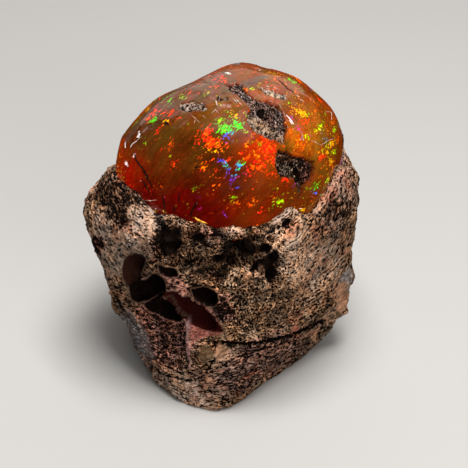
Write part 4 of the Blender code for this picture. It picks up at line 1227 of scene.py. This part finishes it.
def add_block(look):
    mesh = block_mesh(look)
    place_points(mesh, raise_rim(points_of(mesh)))
    points, normals = points_of(mesh), points_of(mesh, "normal")
    chart = chart_places(points)
    front = 1 - smooth(points[:, 1] - ROCK_CENTRE.y, -3 * MM, 3 * MM)
    lift, dark, coarse, ragged, ridge_light = block_relief(points, chart, front)
    tint, dark, smoothness = block_stones(points, chart, front, dark, coarse, ragged)

    # The cavities, cracks and the step beside the left band are cut straight in towards the block's upright axis.
    cut = np.zeros(len(points))
    cavity = np.zeros(len(points))
    for colour, deep, outline in CAVITIES:
        inset = inset_of(chart, outline) + 0.25 * ragged
        share = smooth(inset, -0.42, -0.22) * front
        edge = smooth(inset, -0.95, -0.5) * front
        tint = blend_to(tint, STONE_COLOURS["rim"], edge * (1 - cavity) * 0.15)
        cavity = np.maximum(cavity, share)
        cut = np.maximum(cut, smooth(inset, -0.12, 0.18) * front * deep * (0.6 + 0.4 * smooth(inset, 0.2, 1.4)))
        # Painted shade: the cavity is painted dark and smooth inside.
        tint = blend_to(tint, STONE_COLOURS[colour], share)
        dark = dark * (1 - share)
        smoothness = np.maximum(smoothness * (1 - share), share * 0.95)
    for spot in VESICLES:
        share = spot_share(chart, spot, ragged, 0.25) * front
        cut = np.maximum(cut, 1.3 * share)
        # Painted shade inside the vesicles.
        dark = np.maximum(dark, share * 1.2)
    for width, depth, line in CRACKS:
        share = (1 - smooth(line_distance(chart, line) * (1 + ragged), width * 0.4, width)) * front
        cut = np.maximum(cut, depth * share)
        # Painted shade in the cracks.
        dark = np.maximum(dark, share * 1.1)
    for colour, width, height, line in RIBS:
        share = (1 - smooth(line_distance(chart, line) + 0.3 * ragged, width * 0.35, width * 0.7)) * front
        cut -= height * share * np.maximum(cavity, 0.15)
        tint = blend_to(tint, STONE_COLOURS[colour], share)
        dark = dark * (1 - share) + 0.3 * share
        smoothness *= 1 - share
    down = smooth(chart[1], -22.5, -13.5)
    vein = (1 - smooth(line_distance(chart, VEIN) + 0.25 * ragged, 0.08 + 0.2 * down, 0.25 + 0.25 * down)) * front
    tint = blend_to(tint, (0.30, 0.165, 0.16), vein)
    dark *= 1 - vein
    cut -= 0.5 * vein
    smoothness = np.maximum(smoothness, 0.5 * vein)
    edge = line_distance(chart, BAND_EDGE)
    cut += (1 - smooth(edge, 0.1, 2.4)) * front * np.where(chart[0] < -13.5, -0.5, 1.2)
    # Painted shade in the step beside the left band's edge.
    dark = np.maximum(dark, 0.6 * (1 - smooth(edge + 2.0 * ragged, 0.2, 1.5)) * front * (chart[0] > -13.5))

    away = points - np.array(OPAL_CENTRE)
    reach = np.linalg.norm(away, axis=1)
    towards = away / reach[:, None]
    skin = opal_skin(towards)
    seat = 1 - smooth(np.abs(reach - skin - 0.35 * MM), 0.25 * MM, 0.6 * MM)
    rim = 1 - smooth(np.abs(reach - skin - 0.5 * MM), 0.3 * MM, 1.0 * MM)
    lip = rim * (1 - seat) * (0.3 + 0.7 * smooth(chart[0], -11.0, -7.0) * front)
    lip *= smooth(noise_at(points, 1.6 * MM, 51.0), -0.35, 0.1)
    tint = blend_to(tint, (0.70, 0.50, 0.41), lip * 0.8)
    dark *= 1 - 0.8 * lip
    foot = smooth(points[:, 2], 0.05 * MM, 0.9 * MM)
    lift *= (1 - seat) * (1 - 0.5 * rim) * (1 - 0.7 * np.maximum(cavity, smoothness)) * foot
    cut *= (1 - seat) * (1 - 0.6 * rim) * foot
    wall = np.maximum((reach - skin) / MM - 0.8, 0)
    cut = np.minimum(cut, wall)
    lift = np.maximum(lift, -wall * MM)

    inwards = np.column_stack((ROCK_CENTRE.x - points[:, 0], ROCK_CENTRE.y - points[:, 1], np.zeros(len(points))))
    moved = points + normals * lift[:, None] + unit(inwards) * (cut * MM)[:, None]
    dent = OPAL_DENT.height * closeness(towards, OPAL_DENT)
    inset = np.array(OPAL_CENTRE) + towards * (skin - (0.12 + dent) * MM)[:, None]
    moved += (inset - moved) * seat[:, None]
    moved[:, 2] = np.maximum(moved[:, 2], 0.0)
    place_points(mesh, moved)
    ridge_light = np.maximum(ridge_light, np.maximum(lip, smoothness))
    paint(mesh, "stone_tint", np.clip(tint, 0, 1.4), np.clip(coarse, 0, 1))
    paint(mesh, "stone_shade", np.clip(np.column_stack((dark, smoothness, ridge_light)), 0, 1.3))
    dress(object_of(mesh, "rhyolite_block"), stone_material("rhyolite", look, 0.00038), "rhyolite", "rhyolite_matrix")


def add_opal(look):
    ball = blown_cube(look.grid)
    mesh = bpy.data.meshes.new("fire_opal_nodule")
    ball.to_mesh(mesh)
    ball.free()
    directions = unit(points_of(mesh))
    radius, skin, chipped = opal_points(directions)
    depths = pocket_depths(directions, skin)
    pocket = smooth(depths, 0.05 * MM, 0.4 * MM)
    radius = radius * (1 - pocket) + (skin - depths) * pocket
    place_points(mesh, np.array(OPAL_CENTRE) + directions * radius[:, None])
    chart = chart_places(np.array(OPAL_CENTRE) + directions * skin[:, None])
    smear = smooth(inset_of(chart, SMEAR) + raggedness(directions), -0.2, 0.3) * display_side(directions)
    # A painted reflection of the overhead light over the upper left of the display side.
    painted_reflection = smooth(inset_of(chart, PAINTED_REFLECTION) + 0.4 * raggedness(directions), -0.15, 0.2) * display_side(directions)
    body = blend_to(body_colours(directions), BODY_COLOURS["painted_reflection"], 0.75 * painted_reflection)
    body = blend_to(body, BODY_COLOURS["ash"], 0.7 * smear)
    grit = np.random.default_rng(2).uniform(0.2, 1.7, len(directions))
    body = blend_to(body, BODY_COLOURS["recess"], pocket) * (1 + (grit - 1) * pocket)[:, None]
    top = smooth(directions @ direction_of(10, 80), 0.5, 0.95)
    fire, density = fire_colours(directions)
    paint(mesh, "opal_body", np.clip(body, 0, 1), np.clip(0.25 + 0.75 * top + 0.2 * chipped, 0, 1))
    paint(mesh, "opal_fire", np.clip(fire, 0, 1), density * (1 - pocket))
    mesh.shade_smooth()
    opal = object_of(mesh, "fire_opal_nodule")
    dress(opal, opal_material(look), "opal", "fire_opal")
    tree = BVHTree.FromObject(opal, bpy.context.evaluated_depsgraph_get())
    for kind in MARK_FINISHES:
        add_marks(kind, tree)


def add_marks(kind, opal_tree):
    """Lays one kind of fine mark on the opal: slender closed slivers, half sunk in its skin."""
    curve = bpy.data.curves.new("opal_" + kind, "CURVE")
    curve.dimensions = "3D"
    curve.bevel_depth = 1.0
    curve.bevel_resolution = 1
    curve.resolution_u = 3
    curve.use_fill_caps = True
    for number, (name, width, course) in enumerate(MARKS):
        if name != kind:
            continue
        ends = [direction_of(*place) for place in course]
        steps = 4 * (len(ends) - 1)
        spline = curve.splines.new("NURBS")
        spline.points.add(steps)
        spline.use_endpoint_u = True
        spline.order_u = 3
        for step in range(steps + 1):
            before = min(step // 4, len(ends) - 2)
            share = step / 4 - before
            towards = Vector(ends[before] * (1 - share) + ends[before + 1] * share)
            stray = noise.noise_vector(towards * 40 + Vector((number, 0, 0))) * 0.006
            towards = (towards + stray).normalized()
            hit = opal_tree.ray_cast(OPAL_CENTRE + towards * 0.04, -towards)[0]
            spline.points[step].co = (*hit, 1.0)
            along = step / steps
            taper = 0.35 + 0.65 * math.sin(math.pi * min(max(along, 0.04), 0.96))
            spline.points[step].radius = width * MM / 2 * taper * (0.8 + 0.4 * noise.noise(towards * 60))
    rough = object_of(curve, "opal_marks_rough")
    bpy.context.view_layer.update()
    graph = bpy.context.evaluated_depsgraph_get()
    mesh = bpy.data.meshes.new_from_object(rough.evaluated_get(graph))
    mesh.name = "fire_opal_" + kind
    bpy.data.objects.remove(rough)
    mesh.shade_smooth()
    dress(object_of(mesh, "fire_opal_" + kind), mark_material(kind), "opal")


def crust_shell(outline, grid):
    """A closed shell over an outline on the opal: unit directions on top, shorter ones underneath."""
    shell = blown_cube(grid)
    directions = np.array([vertex.co for vertex in shell.verts])
    chart = chart_places(np.array(OPAL_CENTRE) + directions * opal_skin(directions)[:, None])
    near = (inset_of(chart, outline) > -0.9) & (display_side(directions) > 0)
    doomed = [face for face in shell.faces if not all(near[vertex.index] for vertex in face.verts)]
    bmesh.ops.delete(shell, geom=doomed, context="FACES")
    bmesh.ops.subdivide_edges(shell, edges=shell.edges, cuts=1, use_grid_fill=True)
    for vertex in shell.verts:
        vertex.co.normalize()
    under = bmesh.ops.extrude_face_region(shell, geom=list(shell.faces))["geom"]
    for vertex in under:
        if isinstance(vertex, bmesh.types.BMVert):
            vertex.co *= 0.9
    bmesh.ops.reverse_faces(shell, faces=[face for face in shell.faces])
    bmesh.ops.recalc_face_normals(shell, faces=shell.faces)
    return shell


def add_crust(node, material, look):
    name = node.replace("matrix_", "rhyolite_")
    sunk, outline = CRUSTS[node]
    mesh = bpy.data.meshes.new(name)
    shell = crust_shell(outline, look.crust_grid)
    shell.to_mesh(mesh)
    shell.free()
    towards = points_of(mesh)
    length = np.linalg.norm(towards, axis=1)
    top = smooth(length, 0.93, 0.97)
    towards = towards / length[:, None]
    skin = opal_skin(towards)
    surface = towards * skin[:, None]
    chart = chart_places(np.array(OPAL_CENTRE) + surface)
    inset = inset_of(chart, outline) + raggedness(towards)
    relief = 0.30 * noise_at(surface, 0.95 * MM, 2.0) + 0.20 * noise_at(surface, 0.45 * MM, 3.0)
    cells = cells_at(surface, 0.8 * MM, 9.0)
    pit = 1 - smooth(cells[:, 0], 0.15, 0.5)
    relief -= 0.35 * pit
    hole = np.zeros(len(towards))
    for opening in CRUST_HOLES:
        hole = np.maximum(hole, smooth(inset_of(chart, opening) + 2.2 * raggedness(towards), -0.1, 0.4))
    crown = smooth(inset, 0.0, 1.2) * 0.35
    height = relief + crown - sunk - 0.75 * hole - 1.3 * (1 - smooth(inset, -0.35, 0.15))
    radius = skin + (height * top - 2.0 * (1 - top)) * MM
    place_points(mesh, np.array(OPAL_CENTRE) + towards * radius[:, None])
    mesh.shade_smooth()

    tint = np.tile(STONE_COLOURS["pale"], (len(towards), 1))
    drift = noise_at(surface, 1.6 * MM, 7.0)
    tint = blend_to(tint, STONE_COLOURS["brown"], smooth(drift, 0.0, 0.4) * 0.7)
    # Painted shade: the crust's pits are painted dark as well as sunk.
    dark = 0.6 * pit + 0.20
    if node == "matrix_crust_upper":
        grey_share = 1 - smooth(inset_of(chart, CRUST_TAN) + raggedness(towards), -0.3, 0.3)
        dark = np.maximum(dark * 0.6, 0.40 * grey_share)
        tint = blend_to(blend_to(tint, (0.40, 0.29, 0.20), 0.8 - 0.8 * grey_share), (0.50, 0.35, 0.31), grey_share)
    if node in ("matrix_crust_left", "matrix_crust_small"):
        tint = blend_to(tint, (0.52, 0.40, 0.33), np.full(len(towards), 0.8))
    if node == "matrix_crust_top":
        tint = blend_to(tint, (0.74, 0.60, 0.47), np.full(len(towards), 0.8))
        dark *= 0.5
    if node == "matrix_crust_lower":
        tint = blend_to(tint, STONE_COLOURS["red"], smooth(chart[0], 10.4, 12.0) * 0.9) * 0.85
        dark = np.maximum(dark, 0.42)
    # Painted shade: the holes are painted near black, and low relief darker than high through the third channel.
    dark = np.maximum(dark, hole * 1.2)
    low = 1 - smooth(relief, -0.25, 0.15)
    paint(mesh, "stone_tint", np.clip(tint, 0, 1), np.full(len(towards), 0.3))
    paint(mesh, "stone_shade", np.column_stack((np.clip(dark, 0, 1.3), np.zeros(len(towards)), 1 - low)))
    dress(object_of(mesh, name), material, "rhyolite_crust", node)


def add_area_light(name, place, aim, size, power, colour, hidden=False):
    light = bpy.data.lights.new(name, "AREA")
    light.shape = "RECTANGLE"
    light.size, light.size_y = size
    light.energy = power
    light.color = colour
    lamp = object_of(light, name)
    lamp.location = place
    lamp.rotation_mode = "QUATERNION"
    lamp.rotation_quaternion = (Vector(aim) - Vector(place)).to_track_quat("-Z", "Y")
    lamp.visible_glossy = not hidden
    lamp.visible_camera = False
    return lamp


def add_studio(look):
    floor = bmesh.new()
    bmesh.ops.create_grid(floor, x_segments=2, y_segments=2, size=2.0)
    mesh = bpy.data.meshes.new("studio_floor")
    floor.to_mesh(mesh)
    floor.free()
    mesh.materials.append(plain_material("studio_floor", look.floor, 0.85))
    ground = object_of(mesh, "studio_floor")
    ground.visible_glossy = False
    aim = (0.0, 0.0, 0.026)
    warm = (1.0, 0.965, 0.93)
    add_area_light("top_light", (-0.262, 0.489, 0.267), (-0.572, -0.231, -0.353), (1.2, 0.36), look.top_light, warm)
    add_area_light("glint_light", (-0.30, 0.21, 0.06), aim, (0.02, 0.06), look.glint_light, warm)
    add_area_light("key_light", (0.04, -0.08, 0.42), aim, (0.20, 0.20), look.key_light, warm, True)
    add_area_light("fill_light", (0.16, -0.46, 0.20), aim, (0.30, 0.24), look.fill_light, warm, True)
    world = bpy.data.worlds.new("studio_room")
    world.use_nodes = True
    world.node_tree.nodes["Background"].inputs["Color"].default_value = grey(1.0)
    world.node_tree.nodes["Background"].inputs["Strength"].default_value = look.world
    world.cycles_visibility.glossy = False
    scene = bpy.context.scene
    scene.world = world
    scene.view_settings.view_transform = "Standard"
    back = Vector((0.0, -math.cos(DISPLAY_ELEVATION), math.sin(DISPLAY_ELEVATION)))
    lens = bpy.data.cameras.new("display_camera")
    lens.lens = look.lens
    lens.sensor_width = 36.0
    camera = object_of(lens, "display_camera")
    camera.location = CHART_MIDDLE + back * DISPLAY_DISTANCE
    camera.rotation_mode = "QUATERNION"
    camera.rotation_quaternion = (-back).to_track_quat("-Z", "Y")
    scene.camera = camera


class FIREOPAL_OT_opal(bpy.types.Operator):
    """Build the fire opal with its body colour, its play of colour and its pockets"""

    bl_idname = "fire_opal.opal"
    bl_label = "Fire Opal"

    def execute(self, context):
        add_opal(context.scene.fire_opal_look)
        return {"FINISHED"}


class FIREOPAL_OT_block(bpy.types.Operator):
    """Build the broken block of rhyolite that holds the opal"""

    bl_idname = "fire_opal.block"
    bl_label = "Rhyolite Block"

    def execute(self, context):
        add_block(context.scene.fire_opal_block_look)
        return {"FINISHED"}


class FIREOPAL_OT_crusts(bpy.types.Operator):
    """Build the crusts of rhyolite left in the opal's pockets"""

    bl_idname = "fire_opal.crusts"
    bl_label = "Rhyolite Crusts"

    def execute(self, context):
        look = context.scene.fire_opal_block_look
        material = stone_material("rhyolite_crust", look, 0.00024)
        for node in sorted(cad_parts):
            if node.startswith("matrix_crust_"):
                add_crust(node, material, look)
        return {"FINISHED"}


class FIREOPAL_OT_studio(bpy.types.Operator):
    """Build the floor, the lights and the camera"""

    bl_idname = "fire_opal.studio"
    bl_label = "Studio"

    def execute(self, context):
        add_studio(context.scene.fire_opal_studio_look)
        return {"FINISHED"}


class FIREOPAL_PT_parts(bpy.types.Panel):
    """The parts of the specimen, in the order they are built"""

    bl_idname = "FIREOPAL_PT_parts"
    bl_label = "Fire Opal"
    bl_space_type = "VIEW_3D"
    bl_region_type = "UI"
    bl_category = "Fire Opal"

    def draw(self, context):
        column = self.layout.column()
        column.operator(FIREOPAL_OT_opal.bl_idname)
        column.operator(FIREOPAL_OT_block.bl_idname)
        column.operator(FIREOPAL_OT_crusts.bl_idname)
        column.operator(FIREOPAL_OT_studio.bl_idname)


CLASSES = (
    OpalLook,
    BlockLook,
    StudioLook,
    FIREOPAL_OT_opal,
    FIREOPAL_OT_block,
    FIREOPAL_OT_crusts,
    FIREOPAL_OT_studio,
    FIREOPAL_PT_parts,
)


def register():
    for cls in CLASSES:
        bpy.utils.register_class(cls)
    bpy.types.Scene.fire_opal_look = PointerProperty(type=OpalLook)
    bpy.types.Scene.fire_opal_block_look = PointerProperty(type=BlockLook)
    bpy.types.Scene.fire_opal_studio_look = PointerProperty(type=StudioLook)


def unregister():
    del bpy.types.Scene.fire_opal_studio_look
    del bpy.types.Scene.fire_opal_block_look
    del bpy.types.Scene.fire_opal_look
    for cls in reversed(CLASSES):
        bpy.utils.unregister_class(cls)


def main():
    register()
    bpy.ops.fire_opal.opal()
    bpy.ops.fire_opal.block()
    bpy.ops.fire_opal.crusts()
    bpy.ops.fire_opal.studio()


if __name__ == "__main__":
    main()
